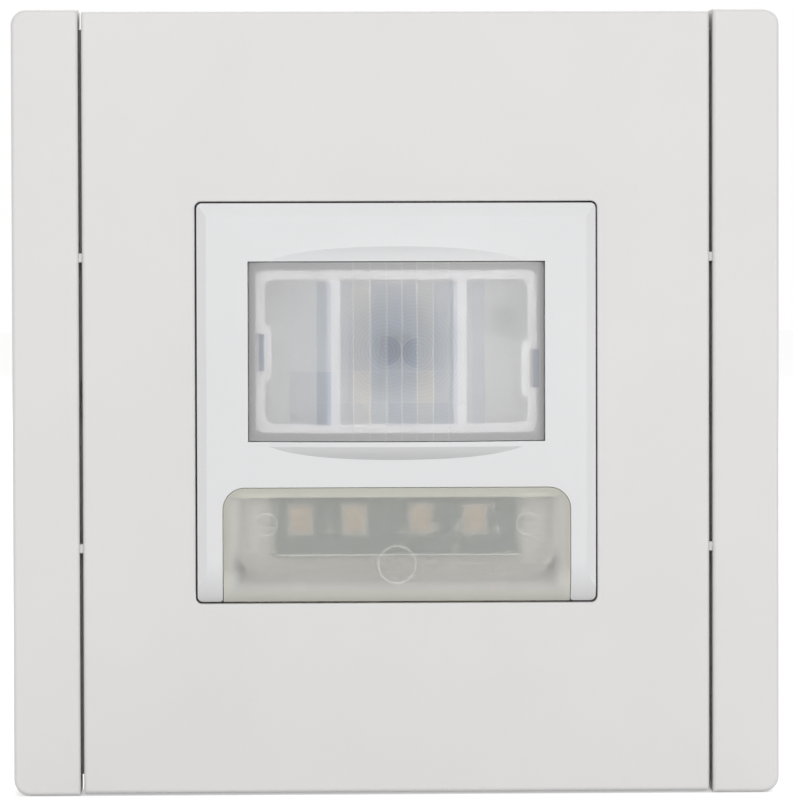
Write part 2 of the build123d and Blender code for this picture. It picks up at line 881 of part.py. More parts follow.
def tray_outline(inset):
    width = tray_width - 2 * inset
    height = tray_top_z - tray_bottom_z - 2 * inset
    outline = Rectangle(width, height)
    lower = outline.vertices().group_by(Axis.Y)[0]
    outline = fillet(lower, tray_corner_radius - inset)
    return Pos(0, (tray_top_z + tray_bottom_z) / 2) * outline


def header_places():
    return [(x + header_share * led_board_width, led_board_centre_z) for x in row(header_count, header_pitch)]


def light_reflector():
    body = slab(tray_outline(0), tray_floor_out, tray_top_out)
    body -= slab(tray_outline(tray_wall), tray_floor_out + tray_floor, tray_top_out + overrun)
    body &= insert_shape(light_wall + tray_front_gap, 0)
    post_top = tray_bottom_z + tray_wall
    post_end = -insert_half
    for side in (-1, 1):
        x = side * post_share * tray_width / 2
        post = Pos(x, (post_top + post_end) / 2) * Rectangle(post_width, post_top - post_end)
        body += slab(post, tray_floor_out, tray_top_out) & insert_shape(light_wall + fit_gap, 0)
    for x, z in header_places():
        hole = Pos(x, z) * Rectangle(header_pin + 2 * fit_gap, header_pin + 2 * fit_gap)
        body -= slab(hole, tray_floor_out - overrun, tray_floor_out + tray_floor + overrun)
    return body


def led_board():
    outline = Pos(0, led_board_centre_z) * Rectangle(led_board_width, led_board_height)
    for x, z in header_places():
        outline -= Pos(x, z) * Rectangle(header_pin + fit_gap, header_pin + fit_gap)
    return slab(outline, led_board_out - led_board_thickness, led_board_out)


def led_places():
    return [(share * led_board_width, led_board_centre_z + led_rise_z) for share in led_place_shares]


def led_packages():
    bodies = []
    for x, z in led_places():
        body = slab(
            Pos(x, z) * Rectangle(led_body_width, led_body_height), led_board_out, led_board_out + led_body_thickness
        )
        face = Pos(x, z) * RectangleRounded(led_face_width, led_face_height, led_face_depth)
        top = led_board_out + led_body_thickness
        bodies.append(body - slab(face, top - led_face_depth, top + overrun))
    return bodies


def led_phosphors():
    top = led_board_out + led_body_thickness
    face = RectangleRounded(led_face_width - fit_gap / 2, led_face_height - fit_gap / 2, led_face_depth)
    return [slab(Pos(x, z) * face, top - led_face_depth, top - fit_gap / 2) for x, z in led_places()]


def led_header():
    pins = [
        slab(Pos(x, z) * Rectangle(header_pin, header_pin), -sensor_board_deep, led_board_out)
        for x, z in header_places()
    ]
    strip = Rectangle(header_count * header_pitch, header_pitch)
    body = slab(
        Pos(header_share * led_board_width, led_board_centre_z) * strip,
        -sensor_board_deep,
        header_pitch - sensor_board_deep,
    )
    for pin in pins:
        body += pin
    return body


# Heat sensor and the sensor board


def turned(points, x, z):
    # A round piece about a line square to the wall, from radius and distance out
    section = drawn([(radius, -out) for radius, out in points])
    return Pos(x, 0, z) * revolve(section, Axis.Y)


def can_base_out():
    return can_stand - sensor_board_deep


def pir_sensor():
    low = can_base_out()
    top = low + can_flange_thickness + can_height
    body = turned([(0, low), (can_flange_radius, low), (can_flange_radius, low + can_flange_thickness),
                   (can_radius, low + can_flange_thickness), (can_radius, top), (0, top)], 0, sensor_z)
    body = fillet(front_edges(body, top), can_edge_radius)
    window = Pos(0, sensor_z) * Rectangle(filter_width, filter_height)
    return body - slab(window, top - filter_thickness, top + overrun)


def pir_filter():
    top = can_base_out() + can_flange_thickness + can_height
    window = Rectangle(filter_width - fit_gap, filter_height - fit_gap)
    return slab(Pos(0, sensor_z) * window, top - filter_thickness, top - fit_gap / 2)


def sensor_shroud():
    # A white tray that keeps stray light off the sensor, with a seat under the can's flange
    low = -sensor_board_deep
    floor_low = can_base_out()
    floor_high = floor_low + shroud_floor
    centre = Pos(0, lens_centre_z)
    outer = RectangleRounded(shroud_width, shroud_height, shroud_corner_radius)
    inner = RectangleRounded(
        shroud_width - 2 * shroud_wall, shroud_height - 2 * shroud_wall, shroud_corner_radius - shroud_wall
    )
    body = slab(centre * outer, low, shroud_out)
    body -= slab(centre * inner, floor_high, shroud_out + overrun)
    body -= slab(centre * inner, low - overrun, floor_low)
    middle = Pos(0, sensor_z)
    body += slab(middle * Circle(can_flange_radius + shroud_wall), low, floor_low)
    body -= slab(middle * Circle(can_flange_radius - can_flange_thickness), low - overrun, floor_low + overrun)
    body -= slab(middle * Circle(can_flange_radius + fit_gap), floor_low, floor_high + overrun)
    cell_hole = Pos(cell_x, cell_z) * Circle(cell_radius + fit_gap)
    return body - slab(cell_hole, floor_low - overrun, floor_high + overrun)


def light_cell():
    low = -sensor_board_deep
    dome = low + cell_height - cell_radius
    body = slab(Pos(cell_x, cell_z) * Circle(cell_radius), low, dome)
    return body + Pos(cell_x, -dome, cell_z) * Sphere(cell_radius)


def control_chip():
    low = -sensor_board_deep
    body = slab(Pos(0, chip_z) * Rectangle(chip_length, chip_width), low + chip_lead_width / 2, low + chip_thickness)
    for x in row(chip_lead_count, chip_lead_pitch):
        lead = Pos(x, chip_z) * Rectangle(chip_lead_width, chip_width + 2 * chip_lead_reach)
        body += slab(lead, low, low + chip_lead_width)
    return body


def board_outline(width, height):
    outline = Rectangle(width, height)
    return chamfer(outline.vertices(), board_corner_cut)


def sensor_board():
    outline = board_outline(sensor_board_width, sensor_board_height)
    for x, z in board_screw_places():
        outline -= Pos(x, z) * Circle(board_screw_radius + fit_gap)
    return slab(outline, -sensor_board_back, -sensor_board_deep)


def board_screws():
    screws = []
    for x, z in board_screw_places():
        back = -sensor_board_back
        head = slab(Pos(x, z) * Circle(board_screw_head_radius), back - board_screw_head_height, back)
        head = fillet(front_edges(head, back - board_screw_head_height), board_screw_head_round)
        cross = Rectangle(board_screw_head_radius, board_screw_cross)
        cross += Rectangle(board_screw_cross, board_screw_head_radius)
        head -= slab(
            Pos(x, z) * cross,
            back - board_screw_head_height - overrun,
            back - board_screw_head_height / 2,
        )
        shank = Pos(x, z) * Circle(board_screw_radius - fit_gap / 2)
        screws.append(head + slab(shank, back, face_out - cover_wall - board_screw_radius))
    return screws


def board_connector():
    middle = Pos(0, link_z)
    length = link_count * link_pitch
    base = slab(middle * Rectangle(length, link_bar), -power_board_deep, link_bar - power_board_deep)
    head = slab(middle * Rectangle(length, link_bar), -sensor_board_back - link_bar, -sensor_board_back)
    body = base + head
    for x in row(link_count, link_pitch):
        body += slab(Pos(x, link_z) * Rectangle(link_pin, link_pin), -power_board_deep, -sensor_board_back)
    return body


# Power board


def power_board():
    outline = board_outline(power_board_size, power_board_size)
    for x in row(terminal_count, terminal_pitch):
        outline -= Pos(x, bar_z) * Rectangle(bar_tail_width + fit_gap, bar_thickness + fit_gap)
    return slab(outline, -power_board_back, -power_board_deep)


def relay_base():
    base = Rectangle(relay_length, relay_width)
    step = Rectangle(relay_length - 2 * relay_wall - fit_gap, relay_width - 2 * relay_wall - fit_gap)
    low = -relay_floor_deep
    body = slab(Pos(relay_x, relay_z) * base, low, low + relay_wall)
    return body + slab(Pos(relay_x, relay_z) * step, low + relay_wall, low + relay_base_thickness)


def relay_cover():
    low = -relay_floor_deep + relay_wall
    top = -relay_floor_deep + relay_height
    outer = Rectangle(relay_length, relay_width)
    body = slab(Pos(relay_x, relay_z) * outer, low, top)
    body = fillet(front_edges(body, top), relay_wall)
    inside = Rectangle(relay_length - 2 * relay_wall, relay_width - 2 * relay_wall)
    return body - slab(Pos(relay_x, relay_z) * inside, low - overrun, top - relay_wall)


def coil_start():
    return relay_x - relay_length / 2 + relay_wall + fit_gap + yoke_thickness


def coil_line():
    return Pos(0, relay_floor_deep - coil_axis_height, relay_z)


def along_coil(radius, start, length):
    section = Plane.YZ.offset(start) * Circle(radius)
    return coil_line() * extrude(section, amount=length)


def relay_coil():
    start = coil_start() + fit_gap
    body = along_coil(coil_radius, start, coil_length)
    body += along_coil(bobbin_radius, start, bobbin_flange)
    body += along_coil(bobbin_radius, start + coil_length - bobbin_flange, bobbin_flange)
    return body - along_coil(core_radius + fit_gap / 2, start - overrun, coil_length + 2 * overrun)


def yoke_reach():
    return coil_length + bobbin_flange + fit_gap


def armature_face():
    # The armature's inner face, which rocks against the end of the yoke's foot
    return coil_start() + yoke_reach() + armature_gap


def relay_yoke():
    # An angle of steel round the coil's end and foot, with the core standing in it
    start = coil_start() - yoke_thickness
    end = armature_face() - fit_gap
    foot_low = relay_base_thickness + fit_gap
    foot_high = foot_low + yoke_thickness
    top = coil_axis_height + bobbin_radius
    points = [
        (start, foot_low),
        (end, foot_low),
        (end, foot_high - armature_knife),
        (end - armature_knife, foot_high),
        (start + yoke_thickness, foot_high),
        (start + yoke_thickness, top),
        (start, top),
    ]
    outline = drawn([(x, relay_floor_deep - high) for x, high in points])
    body = Pos(0, 0, relay_z) * bar_between(Plane.XY, outline, yoke_width)
    core_length = yoke_thickness / 2 + coil_length + bobbin_flange / 2
    return body + along_coil(core_radius, coil_start() - yoke_thickness / 2, core_length)


def relay_armature():
    # The steel plate that the core pulls in, with the contact blade riveted to its outer face
    across = armature_face()
    foot = relay_floor_deep - relay_base_thickness - seat_gap
    top = relay_floor_deep - coil_axis_height - coil_radius / 2
    points = [
        (across, foot),
        (across + armature_thickness, foot),
        (across + armature_thickness, top),
        (across, top),
    ]
    plate = Pos(0, 0, relay_z) * bar_between(Plane.XY, drawn(points), yoke_width)
    blade_low = foot - 2 * yoke_thickness
    blade = [
        (across + armature_thickness, blade_low),
        (across + armature_thickness + contact_thickness, blade_low),
        (across + armature_thickness + contact_thickness, blade_top_deep),
        (across + armature_thickness, blade_top_deep),
    ]
    plate += Pos(0, 0, relay_z) * bar_between(Plane.XY, drawn(blade), contact_width)
    section = Plane.YZ.offset(across + armature_thickness - button_height) * Circle(button_radius)
    return plate + Pos(0, button_deep, relay_z) * extrude(section, amount=button_height)


def relay_contact():
    # The fixed contact: a post from the base, and an arm across to a button facing the blade's
    face = armature_face() + armature_thickness - button_height - contact_gap
    front = face - button_height
    back = front - contact_thickness
    post_z = -(yoke_width / 2 + seat_gap + contact_post_width / 2)
    arm_low = post_z - contact_post_width / 2
    post = drawn(
        [
            (back, relay_floor_deep - relay_base_thickness),
            (front, relay_floor_deep - relay_base_thickness),
            (front, blade_top_deep),
            (back, blade_top_deep),
        ]
    )
    arm = drawn(
        [
            (back, button_deep + button_radius),
            (front, button_deep + button_radius),
            (front, blade_top_deep),
            (back, blade_top_deep),
        ]
    )
    body = Pos(0, 0, relay_z + post_z) * bar_between(Plane.XY, post, contact_post_width)
    body += Pos(0, 0, relay_z + (arm_low + button_radius) / 2) * bar_between(
        Plane.XY, arm, button_radius - arm_low
    )
    section = Plane.YZ.offset(front) * Circle(button_radius)
    return body + Pos(0, button_deep, relay_z) * extrude(section, amount=button_height)


def film_capacitor():
    low = -power_board_deep
    outline = RectangleRounded(film_width, film_length, film_corner_radius)
    body = slab(Pos(film_x, film_z) * outline, low, low + film_height)
    return fillet(front_edges(body, low + film_height), film_corner_radius)


def electrolytic_capacitor():
    # Lying on its side, with the rolled groove near its leads
    high = can_cap_radius - power_board_deep
    groove_at = can_cap_radius / 2
    points = [
        (0, 0),
        (can_cap_radius, 0),
        (can_cap_radius, groove_at - can_cap_groove),
        (can_cap_radius - can_cap_groove, groove_at),
        (can_cap_radius, groove_at + can_cap_groove),
        (can_cap_radius, can_cap_length),
        (0, can_cap_length),
    ]
    body = revolve(Plane.XZ * drawn(points), Axis.Z)
    body = Rot(0, 90, 0) * body
    return Pos(can_cap_x - can_cap_length / 2, -high, can_cap_z) * body


def varistor():
    low = -power_board_deep
    disc = Plane.XY.offset(-varistor_thickness / 2) * Circle(varistor_radius)
    body = extrude(disc, amount=varistor_thickness)
    body = fillet(body.edges(), varistor_edge_radius)
    body = Pos(varistor_x, -(low + varistor_radius + varistor_stand), varistor_z) * body
    for side in (-1, 1):
        leg = Pos(varistor_x + side * varistor_radius / 2, varistor_z) * Circle(lead_radius)
        body += slab(leg, low, low + varistor_radius)
    return body


def fuse_resistor():
    # A small waisted body on two bent leads
    low = -power_board_deep
    half = fuse_length / 2
    end = half - fuse_radius
    points = [
        (0, -half),
        (fuse_radius, -half),
        (fuse_radius, -end),
        (fuse_radius - fuse_waist, -end + fuse_waist),
        (fuse_radius - fuse_waist, end - fuse_waist),
        (fuse_radius, end),
        (fuse_radius, half),
        (0, half),
    ]
    body = Rot(0, 90, 0) * revolve(Plane.XZ * drawn(points), Axis.Z)
    high = low + 2 * fuse_radius
    body = Pos(fuse_x, -high, fuse_z) * body
    for side in (-1, 1):
        reach = half + fuse_radius
        leg = slab(Pos(fuse_x + side * reach, fuse_z) * Circle(lead_radius), low, high + lead_radius)
        across = Plane.YZ.offset(-lead_radius) * Circle(lead_radius)
        lead = extrude(across, amount=fuse_radius + lead_radius)
        start = fuse_x + (half if side > 0 else -reach)
        body += leg + Pos(start, -high, fuse_z) * lead
    return body


# Dials


def dial_places():
    return [-dial_spacing / 2, dial_spacing / 2]


def dial(x):
    back = -(tub_deep - dial_recess)
    collar_back = -(tub_inner_deep - dial_collar_gap)
    collar_front = -dial_collar_deep
    stem_end = -(trimmer_top_deep - trimmer_height / 2)
    body = turned(
        [
            (0, back),
            (dial_radius, back),
            (dial_radius, collar_back),
            (dial_collar_radius, collar_back),
            (dial_collar_radius, collar_front),
            (dial_stem_radius, collar_front),
            (dial_stem_radius, stem_end),
            (0, stem_end),
        ],
        x,
        dial_z,
    )
    slot = Pos(x, dial_z) * Rectangle(dial_slot_width, 2 * dial_radius - dial_slot_width)
    body -= slab(slot, back - overrun, back + dial_slot_depth)
    pointer = Pos(x, dial_z + dial_radius) * Rectangle(dial_pointer_width, dial_radius)
    return body - slab(pointer, back - overrun, back + dial_pointer_width)


def trimmers():
    bodies = []
    for x in dial_places():
        outline = RectangleRounded(trimmer_size, trimmer_size, trimmer_corner_radius)
        body = slab(Pos(x, dial_z) * outline, -trimmer_top_deep, -power_board_back)
        bore = Pos(x, dial_z) * Circle(dial_stem_radius + trimmer_bore_gap)
        bodies.append(body - slab(bore, -trimmer_top_deep - overrun, -power_board_back - fit_gap))
    return bodies


# Rear housing


def tub_shape(inset, front_out, back_deep):
    # The tub's tapering form between two levels, drawn in by an even amount
    def outline(deep):
        share = (deep + frame_depth) / (tub_deep + frame_depth)
        size = tub_size + (tub_back_size - tub_size) * share - 2 * inset
        return RectangleRounded(size, size, tub_corner_radius - inset)

    sections = [level(front_out) * outline(-front_out), level(-back_deep) * outline(back_deep)]
    return loft(Sketch() + sections[0].faces() + sections[1].faces())


def tub_half_at(deep):
    share = (deep + frame_depth) / (tub_deep + frame_depth)
    return (tub_size + (tub_back_size - tub_size) * share) / 2


def latch(side):
    # Seen from the side: a wedge on the wall that catches behind the frame's lip
    wall = tub_half_at(0) - tub_wall / 2
    catch = -(frame_depth - frame_skin - latch_catch_gap)
    reach = frame_window / 2 + latch_reach - frame_skin / 4
    points = [
        (catch, wall),
        (catch, reach),
        (catch + latch_ramp / 4, reach),
        (catch + latch_ramp, wall + tub_wall / 4),
        (catch + latch_ramp, wall),
    ]
    return bar_between(Plane.YZ, drawn([(y, side * z) for y, z in points]), latch_width)


def latch_slits(x, side):
    # Two slits beside the latch and one past its end free a tongue of the wall
    wall = Pos(0, side * tub_size / 2) * Rectangle(latch_slit, 4 * tub_wall)
    start = frame_depth - frame_skin - latch_catch_gap - latch_slit
    slits = []
    for edge in (-1, 1):
        place = Pos(x + edge * (latch_width / 2 + latch_slit / 2), 0) * wall
        slits.append(slab(place, start - latch_length, start))
    return slits


def rear_housing():
    body = tub_shape(0, frame_depth, tub_deep)
    collar = insert_size + 2 * collar_overlap
    body += slab(RectangleRounded(collar, collar, insert_corner_radius), frame_depth, collar_out)
    for side in (-1, 1):
        for z in (-lug_width, lug_width):
            lug = Pos(side * lug_reach / 2, z) * Rectangle(lug_reach, lug_width)
            body += slab(lug, frame_depth, collar_out)
    body -= tub_shape(tub_wall, collar_out + overrun, tub_inner_deep)
    ledge_side = ledge_size + tub_wall / 2
    ledge_spacing = 2 * tub_half_at(sensor_board_back) - tub_wall - ledge_side
    for x, z in four_ways(ledge_spacing, ledge_spacing):
        ledge = Pos(x, z) * Rectangle(ledge_side, ledge_side)
        body += slab(ledge, -power_board_deep, -sensor_board_back) & tub_shape(tub_wall / 2, 0, tub_deep)
    for side in (-1, 1):
        for x in (-latch_spacing / 2, latch_spacing / 2):
            body += Pos(x, 0, 0) * latch(side)
            for slit in latch_slits(x, side):
                body -= slit
    for side, z in arm_places():
        window = Pos(side * tub_size / 2, z) * Rectangle(4 * tub_wall, arm_width + 2 * arm_window_gap)
        body -= slab(window, -(arm_deep + arm_window_gap), arm_barb_length + arm_window_gap - arm_deep)
    for i in range(vent_count):
        place = Pos(row(vent_count, vent_pitch)[i], tub_size / 2) * Rectangle(vent_width, 4 * tub_wall)
        start = sensor_board_back + vent_length
        body -= slab(place, -start - vent_length / 2, -start + vent_length / 2)
    for x in dial_places():
        hole = Pos(x, dial_z) * Circle(dial_radius + dial_running_gap)
        body -= slab(hole, -tub_deep - overrun, -tub_inner_deep + overrun)
        for i in range(dial_tick_count):
            angle = 90 + dial_turn / 2 - i * dial_turn / (dial_tick_count - 1)
            tick = Pos(x, dial_z) * Rot(0, 0, angle) * Pos(dial_tick_radius + dial_tick_length / 2, 0)
            mark = tick * Rectangle(dial_tick_length, dial_tick_width)
            body -= slab(mark, -tub_deep - overrun, -tub_deep + dial_tick_width)
    block = Rectangle(block_width + 2 * block_gap, block_top_z - block_bottom_z + tub_size)
    place = Pos(0, block_top_z + block_gap - (block_top_z - block_bottom_z + tub_size) / 2)
    return body - slab(place * block, -tub_deep - overrun, -(block_front_deep - block_gap))


# Terminals


def terminal_row():
    return row(terminal_count, terminal_pitch)


def clamp_span():
    # The clamp's inner faces and outer faces along Z when it is open
    nut_face = bar_z - bar_thickness / 2 - clamp_gap
    return nut_face - clamp_nut_wall, nut_face, clamp_far_z, clamp_far_z + clamp_wall


def terminal_block():
    block = Pos(0, (block_top_z + block_bottom_z) / 2) * Rectangle(block_width, block_top_z - block_bottom_z)
    body = slab(block, -block_back_deep, -block_front_deep)
    body = chamfer(front_edges(body, -block_back_deep), block_edge_radius)
    low, nut_face, far_face, high = clamp_span()
    pocket_low = low - clamp_travel - clamp_gap
    pocket_high = high + clamp_gap
    depth = clamp_depth / 2 + clamp_gap
    for x in terminal_row():
        pocket = Pos(x, (pocket_low + pocket_high) / 2) * Rectangle(
            clamp_width + 2 * clamp_gap, pocket_high - pocket_low
        )
        body -= slab(pocket, -(clamp_centre_deep + depth), -(clamp_centre_deep - depth))
        wire = Pos(x, wire_z) * Circle(wire_radius)
        body -= slab(wire, -block_back_deep - overrun, -(clamp_centre_deep - clamp_depth / 2))
        funnel = turned(
            [
                (0, -(block_back_deep - wire_funnel)),
                (wire_radius, -(block_back_deep - wire_funnel)),
                (wire_radius + wire_funnel, -block_back_deep),
                (wire_radius + wire_funnel, -block_back_deep - overrun),
                (0, -block_back_deep - overrun),
            ],
            x,
            wire_z,
        )
        body -= funnel
        slot = Pos(x, bar_z) * Rectangle(bar_width + fit_gap, bar_thickness + fit_gap)
        bar_end = clamp_centre_deep + clamp_depth / 2 + clamp_gap + bar_thickness
        body -= slab(slot, -bar_end - fit_gap, -block_front_deep + overrun)
        neck = Plane.XY.offset(screw_top_z) * Circle(screw_radius + screw_neck_gap)
        body -= Pos(x, clamp_centre_deep, 0) * extrude(neck, amount=pocket_low - screw_top_z + overrun)
        well = Plane.XY.offset(block_bottom_z - overrun) * Circle(screw_head_wide + screw_head_gap)
        body -= Pos(x, clamp_centre_deep, 0) * extrude(
            well, amount=screw_top_z + fit_gap - block_bottom_z + overrun
        )
    return body


def contact_bars():
    bars = []
    bar_end = clamp_centre_deep + clamp_depth / 2 + clamp_gap + bar_thickness
    for x in terminal_row():
        wide = Pos(x, bar_z) * Rectangle(bar_width, bar_thickness)
        body = slab(wide, -bar_end, -block_front_deep)
        tail = Pos(x, bar_z) * Rectangle(bar_tail_width, bar_thickness)
        bars.append(body + slab(tail, -block_front_deep, -power_board_deep + lead_radius))
    return bars


def terminal_screw(x):
    # Head down, with its tip against the contact bar
    tip = bar_z - bar_thickness / 2 - fit_gap
    points = [
        (0, tip),
        (screw_radius - screw_slot_width / 2, tip),
        (screw_radius, tip - screw_slot_width / 2),
        (screw_radius, screw_top_z),
        (screw_head_wide, screw_top_z),
        (screw_head_wide, screw_top_z - screw_head_height + screw_slot_width / 2),
        (screw_head_wide - screw_slot_width / 2, screw_top_z - screw_head_height),
        (0, screw_top_z - screw_head_height),
    ]
    body = revolve(Plane.XZ * drawn(points), Axis.Z)
    slot = Plane.XY.offset(screw_top_z - screw_head_height - overrun) * Rectangle(
        2 * (screw_head_wide + overrun), screw_slot_width
    )
    body -= extrude(slot, amount=overrun + screw_slot_depth)
    return Pos(x, clamp_centre_deep, 0) * body


def terminal_clamp(x):
    # A steel cage round the bar and the wire, whose thick end is threaded on the screw
    low, nut_face, far_face, high = clamp_span()
    outer = drawn([
        (-clamp_width / 2, low),
        (clamp_width / 2, low),
        (clamp_width / 2, high),
        (-clamp_width / 2, high),
    ])
    outer = fillet(outer.vertices(), clamp_wall / 2)
    half = clamp_width / 2 - clamp_wall
    inner = drawn([(-half, nut_face), (half, nut_face), (half, far_face), (-half, far_face)])
    body = bar_between(Plane.XZ, outer - inner, clamp_depth)
    bore = Plane.XY.offset(low - overrun) * Circle(screw_radius + screw_thread_gap)
    body -= extrude(bore, amount=clamp_nut_wall + 2 * overrun)
    return Pos(x, clamp_centre_deep, 0) * body


def save(name, piece):
    # Writes one piece, or a group of equal pieces, as one file
    if isinstance(piece, list):
        solids = [solid for item in piece for solid in item.solids()]
        export_step(Compound(children=solids), f"parts/{name}.step")
        return
    solids = piece.solids()
    shape = solids[0] if len(solids) == 1 else Compound(children=list(solids))
    export_step(shape, f"parts/{name}.step")


def build():
    os.makedirs("parts", exist_ok=True)
    save("centre_panel", centre_panel())
    save("left_rail", rail(-1))
    save("right_rail", rail(1))
    save("plate_carrier", plate_carrier())
    save("support_frame", support_frame())
    save("front_bezel", front_bezel())
    save("fresnel_lens", fresnel_lens())
    save("lens_retainer", lens_retainer())
    save("light_window", light_window())
    save("light_reflector", light_reflector())
    save("led_board", led_board())
    save("led_packages", led_packages())
    save("led_phosphors", led_phosphors())
    save("led_header", led_header())
    save("pir_sensor", pir_sensor())
    save("pir_filter", pir_filter())
    save("sensor_shroud", sensor_shroud())
    save("light_cell", light_cell())
    save("control_chip", control_chip())
    save("sensor_board", sensor_board())
    save("board_screws", board_screws())
    save("board_connector", board_connector())
    save("power_board", power_board())
    save("relay_base", relay_base())
    save("relay_cover", relay_cover())
    save("relay_coil", relay_coil())
    save("relay_yoke", relay_yoke())
    save("relay_armature", relay_armature())
    save("relay_contact", relay_contact())
    save("film_capacitor", film_capacitor())
    save("electrolytic_capacitor", electrolytic_capacitor())
    save("varistor", varistor())
    save("fuse_resistor", fuse_resistor())
    save("trimmers", trimmers())
    save("lux_dial", dial(dial_places()[1]))
    save("time_dial", dial(dial_places()[0]))
    save("rear_housing", rear_housing())
    save("terminal_block", terminal_block())
    save("contact_bars", contact_bars())
    for name, x in zip(("line", "neutral", "load"), terminal_row()):
        save(f"{name}_screw", terminal_screw(x))
        save(f"{name}_clamp", terminal_clamp(x))


build()
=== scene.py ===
import json
import math

import bmesh
import bpy
from mathutils import Matrix, Vector


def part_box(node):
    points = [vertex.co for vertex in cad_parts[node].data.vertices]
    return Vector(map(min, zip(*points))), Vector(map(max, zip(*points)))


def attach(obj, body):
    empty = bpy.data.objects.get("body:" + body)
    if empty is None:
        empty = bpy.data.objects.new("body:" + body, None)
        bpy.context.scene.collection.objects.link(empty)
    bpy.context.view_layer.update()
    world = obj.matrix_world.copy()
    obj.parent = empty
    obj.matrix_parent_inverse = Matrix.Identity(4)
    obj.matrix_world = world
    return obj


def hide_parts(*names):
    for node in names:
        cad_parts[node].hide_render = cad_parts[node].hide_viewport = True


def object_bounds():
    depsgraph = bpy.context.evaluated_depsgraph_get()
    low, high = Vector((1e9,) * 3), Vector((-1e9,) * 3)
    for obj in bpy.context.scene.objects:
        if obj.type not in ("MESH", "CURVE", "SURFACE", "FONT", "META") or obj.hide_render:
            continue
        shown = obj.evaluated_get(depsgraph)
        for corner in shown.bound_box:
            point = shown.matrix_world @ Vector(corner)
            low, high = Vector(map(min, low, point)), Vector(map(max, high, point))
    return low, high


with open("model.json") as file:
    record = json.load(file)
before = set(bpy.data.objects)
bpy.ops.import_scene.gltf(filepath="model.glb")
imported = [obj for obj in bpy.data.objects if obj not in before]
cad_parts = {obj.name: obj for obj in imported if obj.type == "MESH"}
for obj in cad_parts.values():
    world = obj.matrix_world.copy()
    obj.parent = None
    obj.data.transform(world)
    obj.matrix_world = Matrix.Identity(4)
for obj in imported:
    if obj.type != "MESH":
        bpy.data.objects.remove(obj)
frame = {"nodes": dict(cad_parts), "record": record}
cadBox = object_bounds()
nodes = frame["nodes"]
mm = 0.001
print("frame loaded:", len(nodes), "nodes")


# a node's box in millimetres: left, front, bottom, right, back, top
def boxOf(name):
    low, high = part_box(name)
    return [value / mm for value in low] + [value / mm for value in high]


# the rectangle of a node that shows from the front: its box without its flange
def shownOf(name, side, foot, head):
    left, _, bottom, right, _, top = boxOf(name)
    return left + side, bottom + foot, right - side, top - head


# camera: where the photograph was taken from, seen from the plate's middle
view = {
    "target": (0.0, -8.6, 0.0),  # millimetres
    "azimuth": -1.681,  # degrees, minus is to the left
    "elevation": 1.776,
    "roll": -0.147,
    "distance": 580.0,
    "lens": 231.34,
    "clip": (0.01, 20),  # metres
}


def placeCamera():
    data = bpy.data.cameras.new("camera")
    data.lens = view["lens"]
    data.clip_start, data.clip_end = view["clip"]
    camera = bpy.data.objects.new("camera", data)
    bpy.context.collection.objects.link(camera)
    around = math.radians(view["azimuth"])
    above = math.radians(view["elevation"])
    back = Vector((math.sin(around) * math.cos(above), -math.cos(around) * math.cos(above), math.sin(above)))
    target = Vector(view["target"]) * mm
    turn = back.to_track_quat("Z", "Y").to_matrix().to_4x4()
    spin = Matrix.Rotation(math.radians(view["roll"]), 4, "Z")
    camera.matrix_world = Matrix.Translation(target + back * view["distance"] * mm) @ turn @ spin
    bpy.context.scene.camera = camera


placeCamera()
bpy.context.scene.view_settings.view_transform = "Standard"
print("camera placed")


# node trees: small helpers, each takes plain values or other nodes' outputs
def newMaterial(name):
    material = bpy.data.materials.new(name)
    material.use_nodes = True
    tree = material.node_tree
    return material, tree, tree.nodes["Principled BSDF"]


def setSocket(tree, socket, value):
    if isinstance(value, bpy.types.NodeSocket):
        tree.links.new(value, socket)
    else:
        socket.default_value = value


def setSockets(tree, node, values):
    for name, value in values.items():
        setSocket(tree, node.inputs[name], value)


def place(tree, scale=(1, 1, 1)):
    where = tree.nodes.new("ShaderNodeTexCoord")
    mapping = tree.nodes.new("ShaderNodeMapping")
    mapping.inputs["Scale"].default_value = scale
    tree.links.new(where.outputs["Object"], mapping.inputs["Vector"])
    return mapping.outputs["Vector"]


def noise(tree, vector, scale, detail=3.0, rough=0.5):
    texture = tree.nodes.new("ShaderNodeTexNoise")
    texture.inputs["Scale"].default_value = scale
    texture.inputs["Detail"].default_value = detail
    texture.inputs["Roughness"].default_value = rough
    tree.links.new(vector, texture.inputs["Vector"])
    return texture.outputs["Fac"]


def ramp(tree, factor, stops, stepped=False):
    node = tree.nodes.new("ShaderNodeValToRGB")
    node.color_ramp.interpolation = "CONSTANT" if stepped else "LINEAR"
    elements = node.color_ramp.elements
    elements[0].position, elements[0].color = stops[0]
    elements[1].position, elements[1].color = stops[-1]
    for position, colour in stops[1:-1]:
        elements.new(position).color = colour
    tree.links.new(factor, node.inputs["Fac"])
    return node.outputs["Color"]


# 0 to 1 becomes low to high
def spread(tree, factor, low, high):
    node = tree.nodes.new("ShaderNodeMapRange")
    node.inputs["To Min"].default_value = low
    node.inputs["To Max"].default_value = high
    tree.links.new(factor, node.inputs["Value"])
    return node.outputs["Result"]


def bump(tree, shader, height, strength, depth):
    node = tree.nodes.new("ShaderNodeBump")
    node.inputs["Strength"].default_value = strength
    node.inputs["Distance"].default_value = depth * mm
    tree.links.new(height, node.inputs["Height"])
    tree.links.new(node.outputs["Normal"], shader.inputs["Normal"])


def number(tree, kind, *values):
    node = tree.nodes.new("ShaderNodeMath")
    node.operation = kind
    for socket, value in zip(node.inputs, values):
        setSocket(tree, socket, value)
    return node.outputs[0]


def mixed(tree, factor, first, second, blend="MIX"):
    node = tree.nodes.new("ShaderNodeMix")
    node.data_type = "RGBA"
    node.blend_type = blend
    for name, value in (("Factor", factor), ("A", first), ("B", second)):
        setSocket(tree, node.inputs[name], value)
    return node.outputs["Result"]


